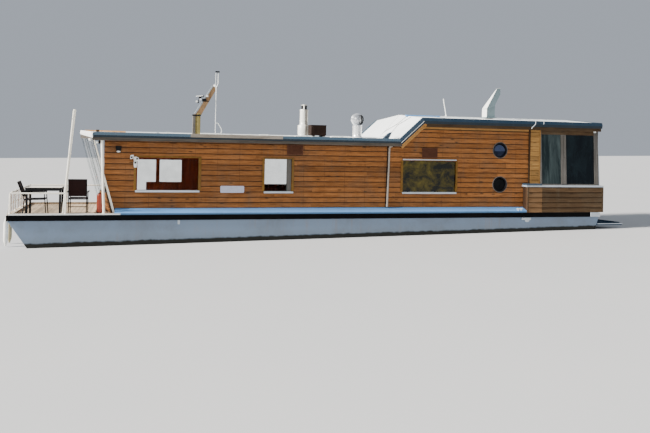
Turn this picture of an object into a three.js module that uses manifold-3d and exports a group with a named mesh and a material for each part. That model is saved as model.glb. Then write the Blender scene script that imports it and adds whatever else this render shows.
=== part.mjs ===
// Houseboat: flat-bottomed hull, open terrace at the left end, timber cabin with a stepped roof
// and a glazed bay at the right end. Millimetres, +Z up, X along the boat, -Y the near side.
import * as THREE from 'three';
import * as BufferGeometryUtils from 'three/addons/utils/BufferGeometryUtils.js';
import Module from 'manifold-3d';

const wasm = await Module();
wasm.setup();

// driving dimensions
const GAP = 0.3;                 // left between pieces that touch
const HULL_LEFT = -8490;
const HULL_RIGHT = 8490;
const HULL_HALF = 1750;          // half the beam
const HULL_TOP = 1060;
const HULL_RAKE = 290;           // how far the right end comes in down to the bottom
const RAKE_TOP = 950;
const DECK_TOP = 1090;
const DECK_HALF = 1770;
const TERRACE_TOP = 1035;        // the terrace floor lies lower, with a rim round it
const TERRACE_LEFT = -8430;
const TERRACE_RIGHT = -6430;
const TERRACE_HALF = 1700;
const BAND_LOW = 915;            // black rub band
const BAND_TOP = 1050;
const BAND_PROUD = 45;
const WALL_OUT = 1500;           // outer face of the side walls
const WALL_T = 80;
const WALL_RIGHT = 6510;
const PILASTER_LEFT = 6135;
const COAMING_TOP = 1207;
const ROOF_HALF = 1750;
const ROOF_EDGE = 160;           // thickness at the eaves
const LOW_CAMBER = 50;           // rise of the roof from the eaves to the middle, left part
const HIGH_CAMBER = 140;         // and right part
const LOW_EAVE = 3180;           // top of the lower roof at the eaves
const HIGH_EAVE = 3810;
const STEP_LOW = 1860;           // where the roof starts to climb
const STEP_HIGH = 2550;
const ROOF_RIGHT = 8520;
const ROOF_LEFT = -6515;         // at the eaves; the middle runs out to a point
const ROOF_TIP = -6940;
const END_FOOT = -5978;          // the left end wall at deck height, at the side walls
const END_LEAN = 0.2747;         // outward lean of the left end wall, per mm of height
const END_VEE = 0.2427;          // how far it runs out to a point, per mm of half width
const CORNER_LEFT = -6240;       // the cladding stops upright here; a three-cornered pane is beyond
const PARAPET_TOP = 1620;
const RAIL_TOP = 1625;
const BAY_LEFT = 5970;
const BAY_RIGHT = 8580;
const BAY_TOP = 1827;
const CAP_T = 50;
const CAP_TOP = BAY_TOP + GAP + CAP_T;

const LOW_UNDER = LOW_EAVE - ROOF_EDGE;
const HIGH_UNDER = HIGH_EAVE - ROOF_EDGE;
const CLIMB = Math.atan2(HIGH_EAVE - LOW_EAVE, STEP_HIGH - STEP_LOW);
const MITRE = Math.tan(CLIMB / 2);
const underStep = (x) => x + ROOF_EDGE * MITRE;

// geometry helpers
function solid(geometry) {
  const g = geometry.clone();
  g.deleteAttribute('normal');
  g.deleteAttribute('uv');
  const m = BufferGeometryUtils.mergeVertices(g, 1e-3);
  return new wasm.Manifold(new wasm.Mesh({
    numProp: 3,
    vertProperties: new Float32Array(m.attributes.position.array),
    triVerts: new Uint32Array(m.index.array),
  }));
}

function geometryOf(manifold) {
  const mesh = manifold.getMesh();
  const g = new THREE.BufferGeometry();
  g.setAttribute('position', new THREE.BufferAttribute(new Float32Array(mesh.vertProperties), 3));
  g.setIndex(new THREE.BufferAttribute(new Uint32Array(mesh.triVerts), 1));
  const flat = g.toNonIndexed();
  flat.computeVertexNormals();
  return flat;
}

const join = (...pieces) => geometryOf(pieces.flat().map(solid).reduce((a, b) => a.add(b)));

function cut(base, ...tools) {
  return geometryOf(tools.flat().map(solid).reduce((a, b) => a.subtract(b), solid(base)));
}

const common = (a, b) => geometryOf(solid(a).intersect(solid(b)));

function box(x0, x1, y0, y1, z0, z1) {
  const g = new THREE.BoxGeometry(x1 - x0, y1 - y0, z1 - z0);
  g.translate((x0 + x1) / 2, (y0 + y1) / 2, (z0 + z1) / 2);
  return g.toNonIndexed();
}

function prism(points, depth) {
  const shape = new THREE.Shape(points.map(([a, b]) => new THREE.Vector2(a, b)));
  return new THREE.ExtrudeGeometry(shape, { depth, bevelEnabled: false, curveSegments: 24 });
}

// outline in plan, raised from z0 to z1
function plan(points, z0, z1) {
  const g = prism(points, z1 - z0);
  g.translate(0, 0, z0);
  return g;
}

// outline seen from the side (x, z), run from y0 to y1
function side(points, y0, y1) {
  const g = prism(points, y1 - y0);
  g.rotateX(Math.PI / 2);
  g.translate(0, y1, 0);
  return g;
}

// outline seen along the boat (y, z), run from x0 to x1
function across(points, x0, x1) {
  const g = prism(points, x1 - x0);
  g.applyMatrix4(new THREE.Matrix4().set(0, 0, 1, 0, 1, 0, 0, 0, 0, 1, 0, 0, 0, 0, 0, 1));
  g.translate(x0, 0, 0);
  return g;
}

function rod(a, b, radius, segments = 12) {
  const p = new THREE.Vector3(...a);
  const q = new THREE.Vector3(...b);
  const g = new THREE.CylinderGeometry(radius, radius, p.distanceTo(q), segments);
  const turn = new THREE.Quaternion();
  turn.setFromUnitVectors(new THREE.Vector3(0, 1, 0), q.clone().sub(p).normalize());
  g.applyQuaternion(turn);
  g.translate((p.x + q.x) / 2, (p.y + q.y) / 2, (p.z + q.z) / 2);
  return g.toNonIndexed();
}

// turned about an upright axis; profile of [radius, height]
function turned(profile, x, y, z, segments = 32) {
  const g = new THREE.LatheGeometry(profile.map(([r, h]) => new THREE.Vector2(r, h)), segments);
  g.rotateX(Math.PI / 2);
  g.translate(x, y, z);
  return g.toNonIndexed();
}

// skin between sections with the same number of corners; ends lists the flat faces of a section
function loft(sections, ends) {
  const n = sections[0].length;
  const position = sections.flat(2);
  const index = [];
  for (let s = 0; s + 1 < sections.length; s += 1) {
    for (let i = 0; i < n; i += 1) {
      const a = s * n + i;
      const b = s * n + ((i + 1) % n);
      index.push(a, b, b + n, a, b + n, a + n);
    }
  }
  const last = (sections.length - 1) * n;
  for (const face of ends) {
    for (let i = 1; i + 1 < face.length; i += 1) {
      index.push(face[0], face[i + 1], face[i]);
      index.push(last + face[0], last + face[i], last + face[i + 1]);
    }
  }
  let volume = 0;
  const v = (k) => new THREE.Vector3(...position.slice(3 * k, 3 * k + 3));
  for (let t = 0; t < index.length; t += 3) {
    volume += v(index[t]).dot(v(index[t + 1]).cross(v(index[t + 2])));
  }
  if (volume < 0) {
    index.reverse();
  }
  const g = new THREE.BufferGeometry();
  g.setAttribute('position', new THREE.BufferAttribute(new Float32Array(position), 3));
  g.setIndex(index);
  const flat = g.toNonIndexed();
  flat.computeVertexNormals();
  return flat;
}

// a window as one body: frame round the edge, bars between, one pane in the middle of its depth
function glazed(x0, x1, z0, z1, y0, y1, frame, bars) {
  const edges = [x0 + frame, ...bars.flat(), x1 - frame];
  const pane = 6;
  const mid = (y0 + y1) / 2;
  const tools = [];
  for (let i = 0; i < edges.length; i += 2) {
    tools.push(box(edges[i], edges[i + 1], y0 - 10, mid - pane, z0 + frame, z1 - frame));
    tools.push(box(edges[i], edges[i + 1], mid + pane, y1 + 10, z0 + frame, z1 - frame));
  }
  return cut(box(x0, x1, y0, y1, z0, z1), tools);
}

// the same with its left end reaching lower down, as far as step
function glazedLower(w, y0, y1) {
  const [x0, x1] = [w.left + GAP, w.right - GAP];
  const [z0, z1] = [w.low + GAP, w.high - GAP];
  const stepX = w.step.right - GAP;
  const stepZ = w.step.low + GAP;
  const f = w.frame;
  const mid = (y0 + y1) / 2;
  const tools = [];
  for (const [a, b] of [[y0 - 10, mid - 6], [mid + 6, y1 + 10]]) {
    tools.push(box(x0 + f, w.bars[0][0], a, b, z0 + f, z1 - f));
    tools.push(box(w.bars[0][1], x1 - f, a, b, z0 + f, z1 - f));
    tools.push(box(x0 + f, stepX - f, a, b, stepZ + f, z0 + f + 10));
  }
  return cut(join(box(x0, x1, y0, y1, z0, z1), box(x0, stepX, y0, y1, stepZ, z0 + 10)), tools);
}

function mirrored(geometry) {
  const g = geometry.clone();
  g.scale(1, -1, 1);
  const p = g.attributes.position;
  for (let i = 0; i < p.count; i += 3) {
    const b = [p.getX(i + 1), p.getY(i + 1), p.getZ(i + 1)];
    p.setXYZ(i + 1, p.getX(i + 2), p.getY(i + 2), p.getZ(i + 2));
    p.setXYZ(i + 2, ...b);
  }
  g.computeVertexNormals();
  return g;
}

const group = new THREE.Group();
group.name = 'houseboat';

const COLOURS = {
  hull: 0xd9d9d4, band: 0x15161a, flashing: 0xdfe6ee, deck: 0xb8a490, cladding: 0xb5652a, bay: 0x6f5138,
  roof: 0xc9cccb, glass: 0x30373c, frame: 0x8a5a30, weathered: 0x7a6a5a, metal: 0xaeb2b4, dark: 0x2a2826,
  white: 0xe6e2d6, timber: 0x9c7038, inside: 0x4a3322, red: 0xb02a1e, navy: 0x2b3d50,
};

function add(name, geometry, colour) {
  const material = new THREE.MeshStandardMaterial({ color: COLOURS[colour], roughness: 0.7 });
  material.name = colour;
  const mesh = new THREE.Mesh(geometry, material);
  mesh.name = name;
  group.add(mesh);
}

// hull, raked at both ends, chines cut off along the bottom
const hullSide = [
  [HULL_LEFT, HULL_TOP], [HULL_LEFT, 890], [HULL_LEFT + 600, 0], [HULL_RIGHT - HULL_RAKE, 0],
  [HULL_RIGHT, RAKE_TOP], [HULL_RIGHT, HULL_TOP],
];
const hullSection = [
  [-HULL_HALF + 140, 0], [HULL_HALF - 140, 0], [HULL_HALF, 140], [HULL_HALF, HULL_TOP],
  [-HULL_HALF, HULL_TOP], [-HULL_HALF, 140],
];
function terrace(inset, low, high) {
  return box(
    TERRACE_LEFT + inset, TERRACE_RIGHT - inset, -TERRACE_HALF + inset, TERRACE_HALF - inset, low, high,
  );
}
const wellBottom = TERRACE_TOP - 30;
add('hull', cut(common(
  side(hullSide, -HULL_HALF - 10, HULL_HALF + 10),
  across(hullSection, HULL_LEFT - 10, HULL_RIGHT + 10),
), terrace(0, wellBottom, HULL_TOP + 10)), 'hull');
add('deck', cut(join(
  box(HULL_LEFT - 30, 8440, -DECK_HALF, DECK_HALF, HULL_TOP + GAP, DECK_TOP),
  terrace(GAP, wellBottom + GAP, DECK_TOP - 5),
), terrace(GAP + 15, TERRACE_TOP, DECK_TOP + 10)), 'deck');
const well = TERRACE_TOP + GAP;

const bandOut = HULL_HALF + GAP + BAND_PROUD;
const bandIn = HULL_HALF + GAP;
const bandRight = 8150;
add('rub_band', plan([
  [bandRight, -bandOut], [bandRight, -bandIn], [HULL_LEFT - GAP, -bandIn], [HULL_LEFT - GAP, bandIn],
  [bandRight, bandIn], [bandRight, bandOut], [HULL_LEFT - GAP - BAND_PROUD, bandOut],
  [HULL_LEFT - GAP - BAND_PROUD, -bandOut],
], BAND_LOW, BAND_TOP), 'band');

const floor = DECK_TOP + GAP;
const coaming = across([
  [-DECK_HALF, floor], [-WALL_OUT - GAP, floor], [-WALL_OUT - GAP, COAMING_TOP], [-DECK_HALF, floor + 18],
], -5950, BAY_LEFT - GAP);
add('coaming_near', coaming, 'flashing');
add('coaming_far', mirrored(coaming), 'flashing');
const STEP_TOP = 710;
const stepIn = HULL_RIGHT - HULL_RAKE * (RAKE_TOP - STEP_TOP) / RAKE_TOP + GAP;
add('boarding_step', plan([
  [stepIn, -HULL_HALF], [9330, -HULL_HALF], [9330, -HULL_HALF + 90], [stepIn, -500],
], STEP_TOP - 60, STEP_TOP), 'navy');

// side walls
const endAt = (z) => END_FOOT - END_LEAN * (z - DECK_TOP);
const wallLow = LOW_UNDER - GAP;
const wallHigh = HIGH_UNDER - GAP;
const cornerLow = DECK_TOP + (END_FOOT - CORNER_LEFT) / END_LEAN;
const wallOutline = [
  [endAt(floor), floor], [WALL_RIGHT, floor], [WALL_RIGHT, wallHigh], [underStep(STEP_HIGH) + GAP, wallHigh],
  [underStep(STEP_LOW) + GAP, wallLow], [CORNER_LEFT, wallLow], [CORNER_LEFT, cornerLow],
];

// openings in the side walls: left, right, sill, head, frame width, bars
const WINDOWS = [
  { name: 'window_near_1', face: -1, left: -5430, right: -3780, low: 1670, high: 2545, frame: 45, bars: [] },
  { name: 'window_near_2', face: -1, left: -2010, right: -1200, low: 1650, high: 2560, frame: 45, bars: [] },
  { name: 'window_near_3', face: -1, left: 2050, right: 3740, low: 1640, high: 2570, frame: 45, bars: [] },
  { name: 'window_far_1', face: 1, left: -5430, right: -4050, low: 1700, high: 2440, frame: 45, bars: [[-4850, -4740]],
    step: { right: -5105, low: 1420 } },
  { name: 'window_far_2', face: 1, left: -2010, right: -740, low: 1650, high: 2560, frame: 45, bars: [] },
  { name: 'window_far_3', face: 1, left: 2050, right: 3740, low: 1640, high: 2570, frame: 45, bars: [] },
];
const PORTHOLES = [
  { name: 'porthole_upper', x: 5170, z: 2916 },
  { name: 'porthole_lower', x: 5180, z: 1885 },
];
const PORT_RADIUS = 228;

function wall(face) {
  const y0 = face < 0 ? -WALL_OUT : WALL_OUT - WALL_T;
  const tools = WINDOWS.filter((w) => w.face === face)
    .map((w) => box(w.left, w.right, y0 - 20, y0 + WALL_T + 20, w.low, w.high));
  for (const w of WINDOWS.filter((v) => v.face === face && v.step)) {
    tools.push(box(w.left, w.step.right, y0 - 20, y0 + WALL_T + 20, w.step.low, w.low + 10));
  }
  if (face < 0) {
    for (const p of PORTHOLES) {
      tools.push(rod([p.x, y0 - 20, p.z], [p.x, y0 + WALL_T + 20, p.z], PORT_RADIUS, 40));
    }
  }
  const pilaster = face < 0
    ? box(PILASTER_LEFT, WALL_RIGHT, y0 - 60, y0 + 5, CAP_TOP + GAP, wallHigh)
    : box(PILASTER_LEFT, WALL_RIGHT, y0 + WALL_T - 5, y0 + WALL_T + 60, CAP_TOP + GAP, wallHigh);
  return cut(join(side(wallOutline, y0, y0 + WALL_T), pilaster), tools);
}
add('side_wall_near', wall(-1), 'cladding');
add('side_wall_far', wall(1), 'cladding');

for (const w of WINDOWS) {
  const y0 = w.face < 0 ? -WALL_OUT - 12 : WALL_OUT - WALL_T;
  add(w.name, w.step ? glazedLower(w, y0, y0 + WALL_T + 12) : glazed(
    w.left + GAP, w.right - GAP, w.low + GAP, w.high - GAP, y0, y0 + WALL_T + 12, w.frame, w.bars,
  ), 'glass');
}
for (const p of PORTHOLES) {
  const mid = -WALL_OUT + WALL_T / 2;
  add(p.name, cut(
    rod([p.x, -WALL_OUT - 15, p.z], [p.x, -WALL_OUT + WALL_T, p.z], PORT_RADIUS - GAP, 40),
    rod([p.x, -WALL_OUT - 30, p.z], [p.x, mid - 6, p.z], PORT_RADIUS - 30, 40),
    rod([p.x, mid + 6, p.z], [p.x, -WALL_OUT + WALL_T + 20, p.z], PORT_RADIUS - 30, 40),
  ), 'glass');
}

// three-cornered panes between the cladding and the leaning end wall
function cornerPane() {
  const right = CORNER_LEFT - GAP;
  const outline = (inset) => {
    const steep = inset * Math.hypot(1, END_LEAN);
    const low = DECK_TOP + (END_FOOT - right + inset + steep) / END_LEAN;
    return [[right - inset, low], [right - inset, wallLow - inset], [endAt(wallLow - inset) + steep, wallLow - inset]];
  };
  const y0 = -WALL_OUT;
  const y1 = -WALL_OUT + WALL_T;
  const mid = (y0 + y1) / 2;
  return cut(
    side(outline(0), y0, y1),
    side(outline(28), y0 - 10, mid - 6),
    side(outline(28), mid + 6, y1 + 10),
  );
}
add('corner_window_near', cornerPane(), 'glass');
add('corner_window_far', mirrored(cornerPane()), 'glass');

// left end wall: two leaning halves that meet in a point; t is the depth, 0 at the side walls' ends
function leaning(geometry) {
  const g = geometry.clone();
  const p = g.attributes.position;
  for (let i = 0; i < p.count; i += 1) {
    const y = p.getY(i);
    const x = p.getX(i) + endAt(p.getZ(i)) - END_VEE * (WALL_OUT - Math.abs(y));
    p.setX(i, x);
  }
  g.computeVertexNormals();
  return g;
}

function panel(y0, y1, z0, z1, t0, t1, frame) {
  const mid = (t0 + t1) / 2;
  return cut(
    box(t0, t1, y0, y1, z0, z1),
    box(t0 - 10, mid - 6, y0 + frame, y1 - frame, z0 + frame, z1 - frame),
    box(mid + 6, t1 + 10, y0 + frame, y1 - frame, z0 + frame, z1 - frame),
  );
}
const END_IN = -GAP;
const END_OUT = -60;
const POST_HALF = 15;
const DOOR_W = 680;              // leaf; it slides behind the fixed pane beside it
const DOOR_FAR = 700;            // where the parapets stop on both sides of the middle
const PANE_FRAME = 14;
add('end_parapet_near', leaning(box(END_OUT, END_IN, -WALL_OUT, -DOOR_FAR - GAP, floor, PARAPET_TOP)), 'cladding');
// over the parapet, and down to the deck beside the middle joint
add('end_window_near', leaning(join(
  panel(-WALL_OUT, -DOOR_FAR + PANE_FRAME, PARAPET_TOP + GAP, wallLow, END_OUT, END_IN, PANE_FRAME),
  panel(-DOOR_FAR, -POST_HALF - GAP, floor, wallLow, END_OUT, END_IN, PANE_FRAME),
)), 'glass');
add('end_post', join(
  leaning(box(END_OUT, END_IN, -POST_HALF, 0, floor, wallLow)),
  leaning(box(END_OUT, END_IN, 0, POST_HALF, floor, wallLow)),
), 'white');
add('end_parapet_far', leaning(box(END_OUT, END_IN, DOOR_FAR, WALL_OUT, floor, PARAPET_TOP)), 'cladding');
add('end_window_far', leaning(panel(
  DOOR_FAR, WALL_OUT, PARAPET_TOP + GAP, wallLow, END_OUT, END_IN, PANE_FRAME,
)), 'glass');
// the leaf stands on two runners behind the fixed pane
add('sliding_door', leaning(join(
  panel(30, 30 + DOOR_W, floor + 12, wallLow - 12, 12, 52, 30),
  box(22, 42, 110, 190, floor, floor + 20),
  box(22, 42, 590, 670, floor, floor + 20),
)), 'glass');

// glazed bay round the right end
add('bay_bulwark', plan([
  [BAY_LEFT, -WALL_OUT - GAP], [BAY_LEFT, -HULL_HALF], [BAY_RIGHT, -HULL_HALF], [BAY_RIGHT, HULL_HALF],
  [BAY_LEFT, HULL_HALF], [BAY_LEFT, WALL_OUT + GAP], [BAY_LEFT + 80, WALL_OUT + GAP],
  [BAY_LEFT + 80, HULL_HALF - 80], [BAY_RIGHT - 80, HULL_HALF - 80], [BAY_RIGHT - 80, -HULL_HALF + 80],
  [BAY_LEFT + 80, -HULL_HALF + 80], [BAY_LEFT + 80, -WALL_OUT - GAP],
], floor, BAY_TOP), 'bay');
const capOut = HULL_HALF + 30;
add('bay_cap', plan([
  [5935, -capOut], [8620, -capOut], [8620, capOut], [5935, capOut], [5935, WALL_OUT + GAP],
  [8360, WALL_OUT + GAP], [8360, -WALL_OUT - GAP], [5935, -WALL_OUT - GAP],
], BAY_TOP + GAP, CAP_TOP), 'metal');

// near and far panes of the bay lean inwards at the top
const BAY_LEAN = 0.062;
const BAY_HEAD = 3430;
const bayFoot = CAP_TOP + GAP;
function bayWindow() {
  const y0 = -WALL_OUT - 150;
  const g = glazed(WALL_RIGHT + GAP, 8500, bayFoot, wallHigh, y0, y0 + 60, 35, [[7210, 7390]]);
  const head = box(WALL_RIGHT + GAP, 8500, y0, y0 + 60, BAY_HEAD, wallHigh);
  const jamb = box(8385, 8500, y0, y0 + 60, bayFoot, wallHigh);
  const both = join(g, head, jamb);
  const p = both.attributes.position;
  for (let i = 0; i < p.count; i += 1) {
    p.setY(i, p.getY(i) + BAY_LEAN * (p.getZ(i) - bayFoot));
  }
  both.computeVertexNormals();
  return both;
}
const bay = bayWindow();
add('bay_window_near', bay, 'glass');
add('bay_window_far', mirrored(bay), 'glass');
const endPane = glazed(-1470, 1470, bayFoot, wallHigh, -30, 30, 60, [[-560, -450], [450, 560]]);
endPane.rotateZ(Math.PI / 2);
endPane.translate(8470, 0, 0);
add('bay_window_end', endPane, 'glass');

// roof in three panels, flat below, falling from the middle to the eaves above
function roofSection(x, z, camber) {
  const shift = (h) => x - h * MITRE;
  return (left, mid) => [
    [left(0), -ROOF_HALF, z], [mid(0), 0, z], [left(0), ROOF_HALF, z],
    [left(ROOF_EDGE), ROOF_HALF, z + ROOF_EDGE], [mid(ROOF_EDGE + camber), 0, z + ROOF_EDGE + camber],
    [left(ROOF_EDGE), -ROOF_HALF, z + ROOF_EDGE],
  ].map(([a, b, c]) => [a === null ? shift(c - z) : a, b, c]);
}
const ROOF_ENDS = [[0, 1, 4, 5], [1, 2, 3, 4]];
const upright = (x) => () => x;
const mitred = () => null;
const lowBend = roofSection(underStep(STEP_LOW), LOW_UNDER, LOW_CAMBER)(mitred, mitred);
const highBend = roofSection(underStep(STEP_HIGH), HIGH_UNDER, HIGH_CAMBER)(mitred, mitred);
const moved = (section, dx) => section.map(([x, y, z]) => [x + dx, y, z]);
add('roof_lower', loft([
  roofSection(0, LOW_UNDER, LOW_CAMBER)(upright(ROOF_LEFT), upright(ROOF_TIP)), moved(lowBend, -GAP),
], ROOF_ENDS), 'roof');
add('roof_slope', loft([moved(lowBend, GAP / 2), moved(highBend, -GAP / 2)], ROOF_ENDS), 'roof');
add('roof_upper', loft([
  moved(highBend, GAP), roofSection(0, HIGH_UNDER, HIGH_CAMBER)(upright(ROOF_RIGHT), upright(ROOF_RIGHT)),
], ROOF_ENDS), 'roof');

// inside, seen through the glass
const inner = WALL_OUT - WALL_T - GAP;
// partitions, each with a doorway from the floor
for (const [name, x, top] of [['bulkhead_left', -3300, wallLow], ['bulkhead_right', 4300, wallHigh]]) {
  add(name, cut(box(x, x + 40, -inner, inner, floor, top), box(x - 10, x + 50, 250, 950, floor - 10, 2950)), 'inside');
}

// on the roof
const roofAt = (x, y) => {
  const rise = 1 - Math.abs(y) / ROOF_HALF;
  return x < STEP_LOW ? LOW_EAVE + LOW_CAMBER * rise : HIGH_EAVE + HIGH_CAMBER * rise;
};
// a piece standing on the sloping sheet keeps its foot clear of the highest point under it
const seat = (x, y, reach) => roofAt(x, Math.min(0, y + reach)) + GAP;

const FLUE = { x: -700, y: -550 };
const flueFoot = seat(FLUE.x, FLUE.y, 168);
add('flue', turned([
  [0, 0], [165, 0], [165, 25], [140, 45], [140, 210], [176, 215], [176, 400], [120, 405], [120, 780],
  [80, 785], [80, 890], [98, 895], [98, 925], [0, 925],
], FLUE.x, FLUE.y, flueFoot), 'metal');
const boxFoot = seat(-420, -1050, 200);
add('roof_box', join(
  box(-640, -200, -1250, -850, boxFoot + 90, boxFoot + 328),
  box(-620, -520, -1250, -850, boxFoot, boxFoot + 95),
  box(-320, -220, -1250, -850, boxFoot, boxFoot + 95),
), 'dark');

const VENT = { x: 677, y: -1400 };
const ventFoot = seat(VENT.x, VENT.y, 172);
add('vent_stem', turned([
  [0, 0], [170, 0], [170, 18], [132, 30], [132, 330], [30, 330], [30, 335.2], [0, 335.2],
], VENT.x, VENT.y, ventFoot), 'metal');
add('vent_head', turned([
  [0, 335.5], [120, 335.5], [165, 395], [188, 460], [192, 520], [184, 590], [140, 665], [70, 697], [0, 702],
], VENT.x, VENT.y, ventFoot), 'metal');

const DUCT = { x: 5250, y: -600, w: 280, d: 300 };
const ductFoot = seat(DUCT.x, DUCT.y, 192);
const dl = DUCT.x - DUCT.w / 2;
const dr = DUCT.x + DUCT.w / 2;
add('bent_duct', join(
  side([
    [dl, ductFoot], [dr, ductFoot], [dr, ductFoot + 300], [dr + 260, ductFoot + 700],
    [dr + 130, ductFoot + 900], [dl, ductFoot + 420],
  ], DUCT.y - DUCT.d / 2, DUCT.y + DUCT.d / 2),
  box(dl - 40, dr + 40, DUCT.y - 190, DUCT.y + 190, ductFoot, ductFoot + 20),
), 'metal');

const MAST = { x: -3880, y: -1350 };
const mastFoot = seat(MAST.x, MAST.y, 70);
add('mast', join(
  box(MAST.x - 105, MAST.x + 104, MAST.y - 70, MAST.y + 70, mastFoot, mastFoot + 566),
  side([
    [MAST.x - 105, mastFoot + 466], [MAST.x + 104, mastFoot + 486], [MAST.x + 555, mastFoot + 1306],
    [MAST.x + 440, mastFoot + 1366],
  ], MAST.y - 55, MAST.y + 55),
), 'timber');
// pole with two prongs under a short cross bar, steadied by the mast
const ANTENNA = { x: -3372, y: MAST.y - 72 };
const antennaFoot = seat(ANTENNA.x, ANTENNA.y, 30);
const FORK = 4480;
const PRONG_TOP = 4885;
add('antenna', join(
  turned([[0, 0], [30, 0], [30, 14], [0, 14]], ANTENNA.x, ANTENNA.y, antennaFoot, 16),
  rod([ANTENNA.x, ANTENNA.y, antennaFoot + 5], [ANTENNA.x, ANTENNA.y, FORK], 9),
  box(ANTENNA.x - 12, ANTENNA.x + 12, ANTENNA.y - 4, MAST.y - 55 - GAP, 4430, 4490),
  rod([ANTENNA.x, ANTENNA.y, FORK - 10], [ANTENNA.x - 16, ANTENNA.y, FORK + 90], 7),
  rod([ANTENNA.x - 16, ANTENNA.y, FORK + 85], [ANTENNA.x - 16, ANTENNA.y, PRONG_TOP], 7),
  rod([ANTENNA.x, ANTENNA.y, FORK - 10], [ANTENNA.x + 48, ANTENNA.y, FORK + 90], 12),
  rod([ANTENNA.x + 48, ANTENNA.y, FORK + 85], [ANTENNA.x + 48, ANTENNA.y, PRONG_TOP], 12),
  box(ANTENNA.x - 30, ANTENNA.x + 85, ANTENNA.y - 14, ANTENNA.y + 14, PRONG_TOP - 5, PRONG_TOP + 38),
), 'metal');
const whipFoot = roofAt(4070, 0) + GAP;
add('whip', join(
  turned([[0, 0], [40, 0], [40, 20], [14, 40], [0, 40]], 4070, 0, whipFoot, 16),
  rod([4070, 0, whipFoot + 30], [3970, 0, whipFoot + 560], 8),
), 'white');
add('downpipe', join(
  rod([1578, -WALL_OUT - 50, 1230], [1618, -WALL_OUT - 50, 2940], 27, 16),
  rod([1618, -WALL_OUT - 50, 2925], [1638, -WALL_OUT - 170, LOW_UNDER - 40], 27, 16),
  rod([1638, -WALL_OUT - 170, LOW_UNDER - 60], [1638, -WALL_OUT - 170, LOW_UNDER - GAP], 27, 16),
), 'white');

// terrace
// roof posts, leaning a little with the end wall; sheared so that both ends stay level
function roofPost(y) {
  const g = rod([-6215, y, floor], [-6215, y, LOW_UNDER - GAP], 28, 20);
  const p = g.attributes.position;
  for (let i = 0; i < p.count; i += 1) {
    p.setX(i, p.getX(i) - 0.0435 * (p.getZ(i) - floor));
  }
  g.computeVertexNormals();
  return g;
}
add('post_near', roofPost(-1700), 'white');
add('post_far', roofPost(1700), 'white');
const railY = 1720;
const railX = -8460;
const railParts = [];
const corners = [[-7147, -railY], [railX, -railY], [railX, railY], [-6400, railY]];
for (let i = 0; i < 3; i += 1) {
  const [ax, ay] = corners[i];
  const [bx, by] = corners[i + 1];
  railParts.push(rod([ax, ay, RAIL_TOP - 20], [bx, by, RAIL_TOP - 20], 20, 10));
}
railParts.push(rod([railX, -railY, RAIL_TOP - 280], [railX, railY, RAIL_TOP - 280], 12, 8));
const RAIL_POSTS = [
  [-7147, -railY], [railX, -railY], [railX, -860], [railX, 0], [railX, 860], [railX, railY],
  [-7430, railY], [-6400, railY],
];
for (const [x, y] of RAIL_POSTS) {
  railParts.push(rod([x, y, floor], [x, y, RAIL_TOP - 10], 22, 10));
}
for (const y of [-1550, -1380, -1210, -1040]) {
  railParts.push(rod([railX, y, RAIL_TOP - 290], [railX, y, RAIL_TOP - 10], 12, 8));
}
add('terrace_rail', join(railParts), 'white');
add('leaning_pole', join(
  rod([-7218, -1645, well + 2.4], [-6997, -1645, 3740], 24, 14),
  rod([-7213, -1645, well + 2.4], [-6966, -1645, 3740], 22, 14),
), 'white');
// each fender hangs by a line from the outer side of the top rail
const lineX = railX - 20 * Math.cos(Math.PI / 10) - GAP - 8;
for (const [name, y] of [['fender_1', -1320], ['fender_2', -750]]) {
  add(name, join(
    turned([
      [0, 0], [22, 0], [24, 30], [54, 90], [56, 600], [26, 670], [24, 720], [0, 720],
    ], -8606, y, 240, 20),
    rod([-8606, y, 950], [lineX, y, RAIL_TOP - 50], 8, 8),
    rod([lineX, y, RAIL_TOP - 55], [lineX, y, RAIL_TOP], 8, 8),
  ), 'white');
}
add('extinguisher', turned([
  [0, 0], [80, 0], [83, 20], [83, 410], [62, 460], [24, 475], [24, 555], [0, 555],
], -6322, -1560, floor, 24), 'red');

// table: four legs, a frame and a top
add('table', join(
  box(-8118, -7264, -1640, -970, 1725, 1745),
  box(-8112, -7270, -1634, -976, 1683, 1726),
  ...[[-8112, -1638], [-7318, -1638], [-8112, -1020], [-7318, -1020]]
    .map(([x, y]) => box(x, x + 48, y, y + 48, well, 1700)),
), 'dark');

// chair facing +X with its foot at z 0, the back edge of the seat at x 0, the back leaning away
function chair(run, top) {
  const w = 222;
  const back = (z) => -run * (z - 395) / (top - 395);
  const parts = [];
  for (const s of [-1, 1]) {
    const y = s * w;
    const arm = s * (w + 28);
    parts.push(rod([-40, y, 8], [20, y, 400], 13, 10));
    parts.push(rod([515, y, 8], [468, y, 585], 13, 10));
    parts.push(rod([-40, y, 0], [-40, y, 24], 17, 10));
    parts.push(rod([515, y, 0], [515, y, 24], 17, 10));
    parts.push(rod([back(395), y, 395], [back(top), y, top], 13, 10));
    parts.push(rod([0, y, 395], [478, y, 405], 13, 10));
    parts.push(rod([back(580), arm, 580], [478, arm, 586], 17, 10));
  }
  parts.push(box(0, 465, -w, w, 394, 409));
  parts.push(side([
    [back(490) - 7, 490], [back(490) + 7, 490], [back(top) + 7, top], [back(top) - 7, top],
  ], -w, w));
  return join(parts);
}
const chairs = [
  { name: 'chair_1', x: -8150, y: -1305, turn: 0, run: 175, top: 850 },
  { name: 'chair_2', x: -6885, y: -1370, turn: Math.PI / 2, run: 120, top: 915 },
];
for (const c of chairs) {
  const g = chair(c.run, c.top);
  g.rotateZ(c.turn);
  g.translate(c.x, c.y, well);
  add(c.name, g, 'dark');
}

export default group;
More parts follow.
